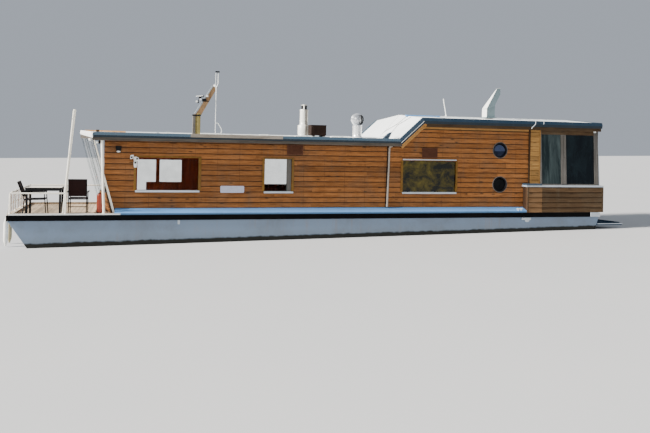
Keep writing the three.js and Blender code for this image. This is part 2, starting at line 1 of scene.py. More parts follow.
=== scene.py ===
# %% [markdown]
# # Dressing a houseboat
# The boat's solid model comes in as a fixed frame: a flat-bottomed hull, a timber cabin with a stepped
# roof, an open terrace at the left end and a glazed bay at the right end. It could all be remodelled here,
# but the solids already hold the true sizes, so this file only adds what a boatbuilder adds last: boards,
# frames, glass, flashings, fittings and finishes. Everything is in metres, X along the boat and -Y the near
# side.

# %% The solid model comes in
import math
import random
from types import SimpleNamespace

import bmesh
import bpy
from mathutils import Matrix, Vector


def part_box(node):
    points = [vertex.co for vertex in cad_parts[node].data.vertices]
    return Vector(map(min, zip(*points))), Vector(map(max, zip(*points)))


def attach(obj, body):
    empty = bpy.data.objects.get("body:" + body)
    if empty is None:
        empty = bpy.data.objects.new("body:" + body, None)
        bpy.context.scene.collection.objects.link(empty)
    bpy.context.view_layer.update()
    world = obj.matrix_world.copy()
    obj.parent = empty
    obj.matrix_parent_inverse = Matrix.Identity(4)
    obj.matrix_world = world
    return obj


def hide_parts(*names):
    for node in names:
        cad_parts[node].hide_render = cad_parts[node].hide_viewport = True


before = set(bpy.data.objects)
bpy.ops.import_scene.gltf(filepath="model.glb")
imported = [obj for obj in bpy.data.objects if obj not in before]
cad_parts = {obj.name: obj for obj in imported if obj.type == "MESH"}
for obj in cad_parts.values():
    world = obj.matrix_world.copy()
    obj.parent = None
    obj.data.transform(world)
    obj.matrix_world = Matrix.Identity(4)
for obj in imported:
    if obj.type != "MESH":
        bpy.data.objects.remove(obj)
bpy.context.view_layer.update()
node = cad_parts

# %% [markdown]
# The camera stands on the bank at about roof height, left of midships, and looks a little to the right.
# It could be aimed with a constraint, but a measured yaw, pitch and roll give the same view each time.
# The boat sits low in the picture, so the lens is shifted down and the horizon stays where it was.

# %% Camera
UP = Vector((0, 0, 1))


def setting(thing, **values):
    for key, value in values.items():
        setattr(thing, key, value)
    return thing


def link(name, data):
    made = bpy.data.objects.new(name, data)
    bpy.context.scene.collection.objects.link(made)
    return made


yaw, pitch, roll = (math.radians(a) for a in (14.8458, 0.14, 1.1844))
level_right = Vector((math.cos(yaw), -math.sin(yaw), 0))
level_ahead = Vector((math.sin(yaw), math.cos(yaw), 0))
ahead = level_ahead * math.cos(pitch) + UP * math.sin(pitch)
above = UP * math.cos(pitch) - level_ahead * math.sin(pitch)
cam_right = level_right * math.cos(roll) + above * math.sin(roll)
cam_up = above * math.cos(roll) - level_right * math.sin(roll)
stance = Matrix((cam_right, cam_up, -ahead)).transposed().to_4x4()
stance.translation = (-5.4, -20.75, 3.01145)
photo_camera = link("photo_camera", bpy.data.cameras.new("photo_camera"))
photo_camera.matrix_world = stance
setting(photo_camera.data, sensor_width=36, lens=39.07, shift_y=-0.115, clip_end=500)
bpy.context.scene.camera = photo_camera
print("camera", [round(v, 2) for v in stance.translation])

# %% [markdown]
# A boat afloat meets the water a third of a metre up its hull, with the right end slightly deeper.
# The floor is a pale sheet at that water line, so the hull runs on below it as it would below water.

# %% Floor at the water line
WATER_AT_MIDSHIPS, WATER_SLOPE = 0.3707, 0.0184


def mesh_object(name, points, faces):
    data = bpy.data.meshes.new(name)
    data.from_pydata(points, [], faces)
    return link(name, data)


reach = 90
corners = [(-reach, -reach), (reach, -reach), (reach, reach), (-reach, reach)]
floor = mesh_object("floor", [(x, y, WATER_AT_MIDSHIPS + WATER_SLOPE * x) for x, y in corners],
                    [(0, 1, 2, 3)])
print("floor at midships", WATER_AT_MIDSHIPS, "m above the bottom")

# %% [markdown]
# The light is that of a studio: a strong soft key high on the left, which whitens everything that faces left
# but only grazes the long near wall, a broad fill from the front, and a pale sky that keeps shadows open.

# %% Lights


def lamp(name, kind, place, target, **settings):
    made = link(name, setting(bpy.data.lights.new(name, kind), **settings))
    facing = (Vector(target) - Vector(place)).to_track_quat("-Z", "Y")
    setting(made, location=place, rotation_mode="QUATERNION", rotation_quaternion=facing)


lamp("key", "SUN", (-24, -1.2, 15), (0, 0, 1), energy=13.5, angle=math.radians(10), color=(1.0, 0.955, 0.89))
lamp("fill", "AREA", (-3, -27, 12), (0, 0, 2), energy=1850, shape="DISK", size=12, color=(1.0, 0.97, 0.93))
sky = bpy.data.worlds.new("studio")
sky.use_nodes = True
sky.node_tree.nodes["Background"].inputs["Color"].default_value = (0.80, 0.88, 1.0, 1)
sky.node_tree.nodes["Background"].inputs["Strength"].default_value = 0.50
bpy.context.scene.world = sky

# %% [markdown]
# Every finish is a small network of nodes. Helpers keep those networks short to write: one adds a node to
# the tree that its inputs belong to and plugs values or other nodes into its sockets, and another opens a
# node group with named sockets. Arithmetic nodes become plain functions such as add and mul.

# %% Helpers for shader nodes


def plug(value, socket):
    if isinstance(value, bpy.types.NodeSocket):
        socket.id_data.links.new(value, socket)
    elif socket.type == "RGBA":
        socket.default_value = (*value, 1)
    else:
        socket.default_value = value


def put(near, kind, settings=None, **sockets):
    """A new node in the tree of near. Its sockets go by name, or by number as _0, _1 and so on."""
    made = setting(near.id_data.nodes.new("ShaderNode" + kind), **(settings or {}))
    for key, value in sockets.items():
        plug(value, made.inputs[int(key[1:]) if key[1:].isdigit() else key])
    return made


def wired(values):
    return next(v for v in values if isinstance(v, bpy.types.NodeSocket))


def maths(operation):
    def apply(*values):
        numbered = {f"_{i}": value for i, value in enumerate(values)}
        return put(wired(values), "Math", {"operation": operation}, **numbered).outputs[0]
    return apply


add, sub, mul, div = (maths(kind) for kind in ("ADD", "SUBTRACT", "MULTIPLY", "DIVIDE"))
absolute, fraction = maths("ABSOLUTE"), maths("FRACT")


def mixed(share, first, second):
    return put(share, "Mix", {"data_type": "RGBA"}, _0=share, _6=first, _7=second).outputs[2]


def remap(value, low, high, to_low=0.0, to_high=1.0):
    return put(value, "MapRange", {"clamp": True}, _0=value, _1=low, _2=high, _3=to_low,
               _4=to_high).outputs[0]


def stretched(vector, scale):
    return put(vector, "VectorMath", {"operation": "MULTIPLY"}, _0=vector, _1=scale).outputs[0]


def noise(vector, scale, detail=4.0, rough=0.55, distortion=0.0):
    return put(vector, "TexNoise", None, Vector=vector, Scale=scale, Detail=detail, Roughness=rough,
               Distortion=distortion).outputs[0]


def split(vector):
    return put(vector, "SeparateXYZ", None, Vector=vector).outputs


SOCKETS = {"vector": "NodeSocketVector", "colour": "NodeSocketColor", "value": "NodeSocketFloat"}


def open_group(name, takes, gives):
    group = bpy.data.node_groups.new(name, "ShaderNodeTree")
    for way, labels in (("INPUT", takes), ("OUTPUT", gives)):
        for label, kind in labels.items():
            group.interface.new_socket(name=label, in_out=way, socket_type=SOCKETS[kind])
    return group, group.nodes.new("NodeGroupInput").outputs, group.nodes.new("NodeGroupOutput").inputs


def use(group, **sockets):
    return put(wired(sockets.values()), "Group", {"node_tree": group}, **sockets).outputs


print("helpers ready")

# %% [markdown]
# Timber is in half of the boat. Its look is long streaks of light and dark along the board, a knot here and
# there, and a tone of its own for each board. The group takes the streak direction as a stretch, so one
# group serves the wall boards, the frames, the mast and the table.

# %% Group: timber grain
grain, takes, gives = open_group(
    "timber_grain",
    dict(Position="vector", Stretch="vector", Light="colour", Dark="colour", Tone="value", Knots="value"),
    dict(Color="colour", Height="value", Roughness="value"))
shift = put(grain, "CombineXYZ", None, X=mul(takes["Tone"], 61.0)).outputs[0]
own_place = put(grain, "VectorMath", {"operation": "ADD"}, _0=takes["Position"], _1=shift).outputs[0]
along = stretched(own_place, takes["Stretch"])
figure = add(mul(noise(along, 1.0, 6.0, 0.62, 0.5), 0.72), mul(noise(along, 5.5, 3.0, 0.6), 0.28))
spots = put(grain, "TexVoronoi", {"feature": "F1"}, Vector=stretched(own_place, (2.1, 7.3, 7.3)), Scale=1.0)
knot = mul(remap(spots.outputs["Distance"], 0.17, 0.07), takes["Knots"])
wood = mixed(knot, mixed(remap(figure, 0.36, 0.64), takes["Dark"], takes["Light"]), (0.035, 0.018, 0.008))
toned = put(grain, "HueSaturation", None, Saturation=1.0, Value=takes["Tone"], Color=wood)
plug(toned.outputs[0], gives["Color"])
plug(sub(figure, mul(knot, 0.3)), gives["Height"])
plug(remap(figure, 0.3, 0.7, 0.82, 0.55), gives["Roughness"])
print("group", grain.name, [s.name for s in grain.interface.items_tree])

# %% [markdown]
# Outdoors nothing stays one colour. Patches of grime are soft clouds of a stain colour, and rain draws
# thin upright runs below every edge. Two groups hold these, and each material sets how much it has.

# %% Groups: grime and rain runs
grime, takes, gives = open_group(
    "grime", dict(Position="vector", Color="colour", Stain="colour", Size="value", Amount="value"),
    dict(Color="colour", Mask="value"))
cloud = noise(takes["Position"], takes["Size"], 7.0, 0.66, 0.4)
patch = mul(remap(cloud, 0.46, 0.74), takes["Amount"])
plug(mixed(patch, takes["Color"], takes["Stain"]), gives["Color"])
plug(patch, gives["Mask"])

rain_runs, takes, gives = open_group(
    "rain_runs", dict(Position="vector", Color="colour", Stain="colour", Amount="value"),
    dict(Color="colour"))
drawn = remap(noise(stretched(takes["Position"], (11.0, 11.0, 0.75)), 1.0, 5.0, 0.6), 0.53, 0.72)
broken = remap(noise(takes["Position"], 1.3, 2.0, 0.5), 0.42, 0.6)
plug(mixed(mul(mul(drawn, broken), takes["Amount"]), takes["Color"], takes["Stain"]), gives["Color"])
print("groups", grime.name, rain_runs.name)

# %% [markdown]
# Decks and linings are planks side by side. Cutting each one out would cost a great many faces for lines
# seen from metres away, so this group rules the lines from one coordinate and gives each plank a tone.

# %% Group: plank lines
planks, takes, gives = open_group(
    "plank_lines", dict(Across="value", Width="value", Gap="value"), dict(Line="value", Tone="value"))
count = div(takes["Across"], takes["Width"])
plug(maths("LESS_THAN")(fraction(count), div(takes["Gap"], takes["Width"])), gives["Line"])
chance = put(planks, "TexWhiteNoise", {"noise_dimensions": "1D"}, W=maths("FLOOR")(count)).outputs["Value"]
plug(remap(chance, 0.0, 1.0, 0.8, 1.15), gives["Tone"])
print("group", planks.name)

# %% [markdown]
# The wall boards are nailed to upright studs, and years of rain have drawn a dark tear below each nail. The
# nails stand in columns, so one group finds how far a point is from the nearest column and nail.

# %% Group: nail heads and tears
FIRST_ROW = 1.213
nail_heads, takes, gives = open_group(
    "nail_heads", dict(Position="vector", Across="value", Up="value"), dict(Mask="value"))
axes = split(takes["Position"])
sideways = mul(absolute(sub(fraction(div(axes[0], takes["Across"])), 0.5)), takes["Across"])
upward = mul(absolute(sub(fraction(div(sub(axes[2], FIRST_ROW), takes["Up"])), 0.22)), takes["Up"])
away = maths("SQRT")(add(mul(sideways, sideways), mul(upward, upward)))
tear = mul(remap(sideways, 0.016, 0.0), remap(noise(takes["Position"], 5.0, 3.0), 0.40, 0.62, 0.0, 0.65))
plug(maths("MAXIMUM")(remap(away, 0.011, 0.005), tear), gives["Mask"])
print("group", nail_heads.name)

# %% [markdown]
# A material here starts from a Principled shader with its constants set on its own sockets, and a position
# in metres that the groups read. Bump comes from the same masks as the colour, so dirt and dents agree.

# %% Starting a material
BOARD = 0.146
finishes = {}


def finish(name, **constants):
    made = finishes[name] = bpy.data.materials.new(name)
    made.use_nodes = True
    shader = made.node_tree.nodes["Principled BSDF"].inputs
    for key, value in constants.items():
        shader[key.replace("_", " ")].default_value = value
    return shader, put(made.node_tree, "TexCoord").outputs["Object"]


def emboss(shader, height, strength, distance):
    bump = put(height, "Bump", None, Strength=strength, Distance=distance, Height=height)
    plug(bump.outputs[0], shader["Normal"])


def weathered(where, colour, stain, dirt, runs, size, run_stain=None):
    """A colour under patches of grime and runs of rain, and the mask of the patches."""
    dirty = use(grime, Position=where, Color=colour, Stain=stain, Size=size, Amount=dirt)
    wet = use(rain_runs, Position=where, Color=dirty["Color"], Stain=run_stain or stain, Amount=runs)
    return wet["Color"], dirty["Mask"]


def timber(name, light, dark, stretch, knots, stain=(0.10, 0.085, 0.06), dirt=0.35, own_tone=True, nails=0.0):
    shader, where = finish(name, Specular_IOR_Level=0.18)
    tone = put(where, "Attribute", {"attribute_name": "tone"}).outputs["Fac"] if own_tone else 1.0
    wood = use(grain, Position=where, Stretch=stretch, Light=light, Dark=dark, Tone=tone, Knots=knots)
    colour = weathered(where, wood["Color"], stain, dirt, dirt * 0.8, 1.4)[0]
    if nails:
        heads = mul(use(nail_heads, Position=where, Across=0.6, Up=BOARD)["Mask"], nails)
        colour = mixed(heads, colour, (0.045, 0.022, 0.012))
    plug(colour, shader["Base Color"])
    plug(wood["Roughness"], shader["Roughness"])
    emboss(shader, wood["Height"], 0.35, 0.004)


def painted(name, colour, rough, stain, dirt=0.3, runs=0.3, size=1.6, metallic=0.0, dents=0.15, gloss=0.5):
    shader, where = finish(name, Metallic=metallic, Specular_IOR_Level=gloss)
    colour, patches = weathered(where, colour, stain, dirt, runs, size)
    plug(colour, shader["Base Color"])
    plug(remap(patches, 0.0, 0.5, rough, min(rough + 0.25, 0.95)), shader["Roughness"])
    emboss(shader, noise(where, 3.0, 3.0), dents, 0.02)


print("material helpers ready")

# %% Timber finishes
LENGTHWAYS, ON_END = (1.5, 24, 24), (12, 12, 1.2)
timber("wall_board", (0.316, 0.123, 0.0334), (0.155, 0.0552, 0.0142), (2.4, 20, 20), 0.85, nails=0.7)
timber("bay_board", (0.101, 0.059, 0.0268), (0.0484, 0.0272, 0.0128), LENGTHWAYS, 0.7)
timber("trim_board", (0.563, 0.296, 0.0914), (0.347, 0.158, 0.041), LENGTHWAYS, 0.4, dirt=0.2)
timber("casing_board", (0.203, 0.102, 0.0175), (0.122, 0.0559, 0.00832), (9, 9, 9), 0.3, dirt=0.2)
timber("grey_timber", (0.160, 0.151, 0.139), (0.084, 0.0756, 0.0672), (14, 14, 1.6), 0.3, dirt=0.3)
timber("pilaster_board", (0.399, 0.217, 0.0647), (0.232, 0.112, 0.0282), (2.0, 24, 24), 0.6, dirt=0.25)
timber("bay_warm_board", (0.227, 0.126, 0.0571), (0.122, 0.0622, 0.0252), LENGTHWAYS, 0.6)
# grey-brown timber darkened as painted shade under the eaves
timber("shaded_eave_timber", (0.0966, 0.084, 0.0706), (0.042, 0.0353, 0.0286), LENGTHWAYS, 0.2, dirt=0.3)
timber("lining_board", (0.263, 0.038, 0.0044), (0.108, 0.014, 0.00165), ON_END, 0.5,
       stain=(0.05, 0.012, 0.003), dirt=0.1, own_tone=False)
# near-black timber behind the boards: painted shade in the gaps between them
timber("painted_shade_backing", (0.055, 0.026, 0.011), (0.024, 0.011, 0.005), ON_END, 0.5, dirt=0.1, own_tone=False)
timber("arm_timber", (0.46, 0.29, 0.15), (0.24, 0.13, 0.06), (22, 22, 1.4), 0.5)
timber("mast_timber", (0.379, 0.309, 0.109), (0.189, 0.12, 0.0374), (22, 22, 1.4), 0.5,
       stain=(0.09, 0.10, 0.035), dirt=0.5, own_tone=False)
timber("rail_slat", (0.62, 0.47, 0.38), (0.42, 0.29, 0.22), (22, 22, 1.6), 0.2, dirt=0.3)
# near-black timber for painted shade in gaps and under the upper eave
timber("shade_board", (0.0714, 0.042, 0.0185), (0.0294, 0.0168, 0.0084), LENGTHWAYS, 0.2, dirt=0.2)
timber("plank_timber", (0.36, 0.32, 0.27), (0.18, 0.15, 0.12), (1.5, 22, 22), 0.3, dirt=0.3, own_tone=False)
print("timber finishes done")

# %% [markdown]
# The hull is steel plate under old white paint. What tells is the water line: a dark, ragged fringe of weed
# that follows the water, not the hull, so its height is measured from the tilted water line.

# %% Hull and deck finishes
shader, where = finish("hull_paint")
axes = split(where)
height = sub(axes[2], maths("MULTIPLY_ADD")(axes[0], WATER_SLOPE, WATER_AT_MIDSHIPS))
weed = remap(add(height, mul(noise(where, 4.5, 6.0, 0.7), -0.11)), 0.085, 0.045)
worn = weathered(where, (0.165, 0.228, 0.320), (0.116, 0.130, 0.136), 0.6, 0.35, 0.9, (0.25, 0.17, 0.10))[0]
faded = mixed(remap(height, 0.32, 0.05, 0.0, 0.4), worn, (0.10, 0.11, 0.11))
plug(mixed(weed, faded, (0.005, 0.006, 0.004)), shader["Base Color"])
plug(remap(weed, 0.0, 1.0, 0.5, 0.9), shader["Roughness"])
plates = use(planks, Across=axes[0], Width=1.63, Gap=0.022)
sag = noise(stretched(where, (0.9, 0.9, 1.5)), 1.0, 2.0)
emboss(shader, add(mul(plates["Line"], 0.12), sag), 0.55, 0.03)

shader, where = finish("deck_board", Specular_IOR_Level=0.3)
lines = use(planks, Across=split(where)[0], Width=0.118, Gap=0.007)
wood = use(grain, Position=where, Stretch=(22, 1.4, 22), Light=(0.64, 0.50, 0.345), Dark=(0.38, 0.28, 0.185),
           Tone=lines["Tone"], Knots=0.3)
dirty = use(grime, Position=where, Color=wood["Color"], Stain=(0.20, 0.17, 0.14), Size=1.8, Amount=0.35)
plug(mixed(lines["Line"], dirty["Color"], (0.03, 0.025, 0.02)), shader["Base Color"])
plug(wood["Roughness"], shader["Roughness"])
emboss(shader, sub(wood["Height"], lines["Line"]), 0.5, 0.006)
print("hull and deck finishes done")

# %% [markdown]
# Paint, sheet metal, vinyl and rubber differ only in colour, sheen and how dirty they are, so one function
# makes them all. The flue alone has a broad brown streak down its front, part stain and part painted
# reflection, and is written out.

# %% Sheet metal, paint and roofing finishes
painted("rub_rubber", (0.0012, 0.0014, 0.002), 0.7, (0.012, 0.011, 0.010), 0.3, 0.2, gloss=0.06)
painted("coaming_metal", (0.120, 0.302, 0.605), 0.34, (0.0945, 0.182, 0.286), 0.3, 0.4)
# a darker copy of the coaming paint: painted shade
painted("coaming_shade", (0.060, 0.155, 0.300), 0.4, (0.05, 0.10, 0.16), 0.4, 0.5)
painted("fascia_metal", (0.0388, 0.0761, 0.113), 0.4, (0.102, 0.112, 0.126), 0.35, 0.2, gloss=0.35)
painted("upper_fascia_metal", (0.01, 0.0268, 0.0496), 0.4, (0.0357, 0.0494, 0.062), 0.35, 0.2, gloss=0.3)
painted("step_paint", (0.008, 0.030, 0.062), 0.85, (0.02, 0.04, 0.06), 0.3, 0.2, gloss=0.02)
painted("strip_metal", (0.30, 0.34, 0.37), 0.45, (0.15, 0.15, 0.14), 0.4, 0.4, 5.0)
# a darker blue for the fascia's lower face: painted shade
painted("fascia_face", (0.0134, 0.0235, 0.0336), 0.5, (0.042, 0.0504, 0.0588), 0.4, 0.25, gloss=0.2)
painted("white_metal", (0.88, 0.90, 0.87), 0.4, (0.36, 0.33, 0.28), 0.25, 0.4)
painted("roof_sheet", (0.90, 0.93, 0.93), 0.33, (0.60, 0.61, 0.60), 0.4, 0.0, 1.1)
painted("sill_metal", (0.437, 0.487, 0.538), 0.3, (0.210, 0.202, 0.185), 0.3, 0.3)
# the duct's sheet is darkened: painted shade on its front
painted("duct_shaded_sheet", (0.168, 0.228, 0.246), 0.42, (0.129, 0.162, 0.163), 0.35, 0.4, 5.0, 0.15)
painted("pipe_paint", (0.353, 0.311, 0.260), 0.45, (0.134, 0.109, 0.084), 0.4, 0.6, 7.0)
# a darker beige copy of the fender vinyl: painted shade
painted("shaded_vinyl", (0.40, 0.34, 0.20), 0.55, (0.20, 0.17, 0.12), 0.5, 0.5, 7.0)
painted("zinc", (0.52, 0.55, 0.57), 0.4, (0.30, 0.30, 0.29), 0.4, 0.4, 5.0, 0.6)
painted("stainless", (0.86, 0.86, 0.85), 0.26, (0.42, 0.38, 0.32), 0.3, 0.4, 6.0, 0.5, 0.1)
painted("turbine_steel", (0.88, 0.90, 0.93), 0.16, (0.40, 0.40, 0.40), 0.3, 0.3, 8.0, 0.78, 0.3)
painted("cream_paint", (0.92, 0.88, 0.77), 0.45, (0.42, 0.30, 0.18), 0.3, 0.4, 7.0)
painted("navy_paint", (0.030, 0.055, 0.085), 0.45, (0.12, 0.13, 0.14), 0.4, 0.2, 5.0, gloss=0.3)
painted("black_paint", (0.005, 0.005, 0.006), 0.5, (0.030, 0.028, 0.026), 0.3, 0.1, 8.0, gloss=0.12)
painted("brown_metal", (0.0924, 0.0353, 0.0185), 0.6, (0.0336, 0.0168, 0.0126), 0.4, 0.3, 9.0, gloss=0.15)
painted("box_brown", (0.0143, 0.0059, 0.00335), 0.6, (0.0294, 0.021, 0.0147), 0.5, 0.4, 9.0, gloss=0.12)
painted("red_paint", (0.212, 0.023, 0.00646), 0.3, (0.13, 0.0412, 0.0128), 0.3, 0.2, 9.0)
painted("grey_plastic", (0.504, 0.532, 0.56), 0.5, (0.28, 0.28, 0.266), 0.3, 0.1, 20.0)
painted("fender_vinyl", (0.88, 0.88, 0.84), 0.42, (0.30, 0.29, 0.22), 0.5, 0.5, 7.0)
painted("rubber_seal", (0.004, 0.004, 0.006), 0.55, (0.02, 0.02, 0.02), 0.3, 0.1, 12.0, gloss=0.15)
painted("table_top", (0.696, 0.648, 0.576), 0.45, (0.408, 0.360, 0.312), 0.4, 0.0, 6.0)
painted("rope_fibre", (0.62, 0.60, 0.54), 0.85, (0.28, 0.24, 0.18), 0.6, 0.2, 30.0)
painted("plate_paint", (0.44, 0.45, 0.56), 0.4, (0.3, 0.28, 0.3), 0.3, 0.2, 9.0)

FLUE_STREAK = -0.655
shader, where = finish("flue_steel", Metallic=0.15)
colour, patches = weathered(where, (0.79, 0.78, 0.72), (0.38, 0.34, 0.28), 0.3, 0.5, 6.0)
# the brown streak down the flue's front is part stain and part a painted reflection on the steel
streak = add(absolute(sub(split(where)[0], FLUE_STREAK)), mul(noise(where, 9.0, 4.0), 0.03))
plug(mixed(remap(streak, 0.072, 0.045, 0.0, 0.85), colour, (0.215, 0.180, 0.140)), shader["Base Color"])
plug(remap(patches, 0.0, 0.5, 0.38, 0.6), shader["Roughness"])

shader, where = finish("floor_paper", Roughness=0.75)
plug(mixed(noise(where, 0.25, 2.0), (0.46, 0.47, 0.48), (0.50, 0.50, 0.50)), shader["Base Color"])
floor.data.materials.append(finishes["floor_paper"])
print("finishes so far", len(finishes))

# %% [markdown]
# Glass is a real sheet with two faces, so it needs no tricks: full transmission, and a colour that is how
# much light comes through. The cabin's left windows are nearly clear. The others are opaque: a gloss over
# painted shade of the dark room behind, a curtain in the bay's left panes, and a painted reflection in the
# third near window.

# %% Glass and woven seat finishes


def glass(name, colour, haze, bend):
    shader, where = finish(name, Transmission_Weight=1.0, IOR=bend)
    smear = noise(where, 2.3, 4.0, 0.6)
    plug(mixed(remap(smear, 0.35, 0.7), colour, [c * 0.86 for c in colour]), shader["Base Color"])
    plug(remap(smear, 0.5, 0.8, 0.015, haze), shader["Roughness"])


def dark_pane(name, dark, light, stretch, low, high, gloss=0.22):
    """Opaque glass, a gloss over a cloud of two colours: the painted shade of a dark room or a curtain behind
    it, and on the third near window a painted reflection.
    """
    shader, where = finish(name, Roughness=0.07, Specular_IOR_Level=gloss)
    cloud = noise(stretched(where, stretch), 1.0, 6.0, 0.68, 0.5)
    plug(mixed(remap(cloud, low, high), dark, light), shader["Base Color"])


glass("clear_glass", (0.95, 0.97, 0.98), 0.03, 1.08)
glass("end_glass", (0.975, 0.985, 0.985), 0.02, 1.03)
glass("edge_glass", (0.96, 0.975, 0.975), 0.02, 1.03)
# gold and green clouds over near-black glass: a painted reflection of trees
dark_pane("painted_reflection_glass", (0.0025, 0.0035, 0.0022), (0.155, 0.118, 0.0130), (2.6, 2.6, 3.0), 0.43, 0.80)
dark_pane("bay_glass", (0.0021, 0.0043, 0.0064), (0.0082, 0.0159, 0.0192), (3.0, 3.0, 1.2), 0.42, 0.72)
dark_pane("curtain_glass", (0.0101, 0.0176, 0.0192), (0.0756, 0.102, 0.101), (4.2, 4.2, 0.5), 0.40, 0.70)
dark_pane("room_glass", (0.0012, 0.0016, 0.0022), (0.005, 0.006, 0.007), (3, 3, 3), 0.4, 0.7, 0.06)
dark_pane("painted_sky_glass", (0.018, 0.026, 0.062), (0.058, 0.080, 0.150), (4.0, 4.0, 4.0), 0.35, 0.7)
dark_pane("dusk_glass", (0.003, 0.005, 0.014), (0.012, 0.019, 0.045), (4.0, 4.0, 4.0), 0.35, 0.7)

shader, where = finish("sling_weave", Roughness=0.8, Sheen_Weight=0.05, Specular_IOR_Level=0.08)
threads = [put(where, "TexWave", {"bands_direction": way}, Vector=where, Scale=95.0).outputs["Fac"]
           for way in "ZX"]
weave = mul(*threads)
plug(mixed(weave, (0.010, 0.0045, 0.0045), (0.045, 0.018, 0.016)), shader["Base Color"])
emboss(shader, weave, 0.5, 0.002)
print("glass and weave done")

# %% [markdown]
# Most of the added pieces are built the same way: loose boards, bars or pipes are drawn as parts, each with
# a tone of its own, then the parts become one object with a finish and a body to ride on.

# %% Drawing loose parts and joining them into one piece
SIDES = ((-1, "near"), (1, "far"))


def on_side(face, out):
    """Puts (x, z, depth) on an upright plane that lies out from the middle line on one side."""
    return lambda x, z, d: (x, face * (out + d), z)


def across(x, z, y):
    return (x, y, z)


def rect(x0, x1, z0, z1):
    return [(x0, z0), (x1, z0), (x1, z1), (x0, z1)]


def tube_faces(rings, n):
    return [(r * n + i, r * n + (i + 1) % n, (r + 1) * n + (i + 1) % n, (r + 1) * n + i)
            for r in range(rings - 1) for i in range(n)]


def tube(points, rings, n, tone=1.0, capped=True):
    """Rings of n points joined one to the next, with a face over each end."""
    ends = [tuple(range(n)), tuple((rings - 1) * n + i for i in range(n))] if capped else []
    return points, tube_faces(rings, n) + ends, tone


def block(a, b, tone=1.0):
    """A bar between two opposite corners."""
    points = [(x, y, z) for x in (a[0], b[0]) for y in (a[1], b[1]) for z in (a[2], b[2])]
    return points, [(0, 1, 3, 2), (4, 6, 7, 5), (0, 4, 5, 1), (2, 3, 7, 6), (0, 2, 6, 4), (1, 5, 7, 3)], tone


def prism(points):
    """A four-sided plate between two outlines of four points each."""
    return points, [(0, 1, 2, 3), (4, 5, 6, 7), (0, 4, 5, 1), (1, 5, 6, 2), (2, 6, 7, 3), (3, 7, 4, 0)], 1.0


def slab(outline, low, high, place, tone=1.0):
    """A flat outline of (a, b) given thickness from low to high; place turns (a, b, depth) into a point."""
    n = len(outline)
    points = [place(a, b, depth) for depth in (low, high) for a, b in outline]
    return points, [tuple(range(n)), tuple(range(2 * n - 1, n - 1, -1)), *tube_faces(2, n)], tone


def turned(profile, centre, sides=32, capped=True):
    """A profile of (radius, height) turned about an upright line through centre."""
    turns = [2 * math.pi * k / sides for k in range(sides)]
    points = [(centre[0] + r * math.cos(a), centre[1] + r * math.sin(a), centre[2] + h)
              for r, h in profile for a in turns]
    return tube(points, len(profile), sides, capped=capped)


def pipe(path, radius, sides=14):
    """A round pipe along a path, mitred at its corners."""
    path = [Vector(p) for p in path]
    steps = [(b - a).normalized() for a, b in zip(path, path[1:])]
    side = steps[0].cross(UP if abs(steps[0].z) < 0.9 else Vector((1, 0, 0))).normalized()
    other = steps[0].cross(side)
    ring = [path[0] + (side * math.cos(a) + other * math.sin(a)) * radius
            for a in (2 * math.pi * k / sides for k in range(sides))]
    points = list(ring)
    for i, step in enumerate(steps):
        plane = (step + steps[i + 1]).normalized() if i + 1 < len(steps) else step
        ring = [p + step * ((path[i + 1] - p).dot(plane) / step.dot(plane)) for p in ring]
        points += ring
    return tube(points, len(path), sides)


def run_profile(stations, profile, tone=1.0):
    """A closed profile of (out, up) carried along stations, each a (point, out, up) of vectors."""
    points = [p + out * a + up * b for p, out, up in stations for a, b in profile]
    return tube(points, len(stations), len(profile), tone)


def level_run(points, out):
    return [(Vector(p), Vector(out), UP) for p in points]


def piece(name, material, parts, body="boat", bevel=0.0, smooth=0, stands_for=()):
    points, faces, tones = [], [], []
    for part_points, part_faces, tone in parts:
        faces += [tuple(len(points) + i for i in face) for face in part_faces]
        tones += [tone] * len(part_points)
        points += [tuple(p) for p in part_points]
    made = mesh_object(name, points, faces)
    made.data.attributes.new("tone", "FLOAT", "POINT").data.foreach_set("value", tones)
    work = bmesh.new()
    work.from_mesh(made.data)
    bmesh.ops.recalc_face_normals(work, faces=work.faces)
    for face in work.faces:
        face.smooth = bool(smooth)
    for edge in work.edges:
        if smooth and len(edge.link_faces) == 2:
            edge.smooth = edge.calc_face_angle(0.0) < math.radians(smooth)
    work.to_mesh(made.data)
    work.free()
    made.data.materials.append(finishes[material])
    if bevel:
        ease(made, bevel, 35)
    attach(made, body)
    if stands_for:
        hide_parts(*stands_for)
    return made


def ease(made, width, angle):
    setting(made.modifiers.new("eased edges", "BEVEL"), width=width, segments=2, limit_method="ANGLE",
            angle_limit=math.radians(angle))


def dress(material, *names):
    for name in names:
        for slot in node[name].material_slots:
            slot.material = finishes[material]


print("piling helpers ready")

# %% [markdown]
# The walls are clad in horizontal boards, each lapping the one below. A texture could draw the joints, but
# real laps catch the light along their lower edge, and that line of shadow is what the eye reads as boards.
# So each row is a strip with a leaning face, cut round the windows, the portholes and the sloping roof.

# %% Sizes of the cabin
WALL = 1.5
COAMING_TOP = 1.207
ROOF_HALF = 1.75
ROOF_EDGE = 0.16
LOW_EAVE, HIGH_EAVE = 3.18, 3.81
LOW_RISE, HIGH_RISE = 0.05, 0.14
LOW_UNDER, HIGH_UNDER = LOW_EAVE - ROOF_EDGE, HIGH_EAVE - ROOF_EDGE
STEP_LOW, STEP_HIGH = 1.86, 2.55
CLIMB = math.atan2(HIGH_EAVE - LOW_EAVE, STEP_HIGH - STEP_LOW)
MITRE = math.tan(CLIMB / 2)
SLOPE_UP, MITRE_UP = Vector((-math.sin(CLIMB), 0, math.cos(CLIMB))), Vector((-MITRE, 0, 1))
UNDER_LOW, UNDER_HIGH = STEP_LOW + ROOF_EDGE * MITRE, STEP_HIGH + ROOF_EDGE * MITRE
DECK = 1.09
END_FOOT, END_LEAN, END_VEE = -5.978, 0.2747, 0.2427
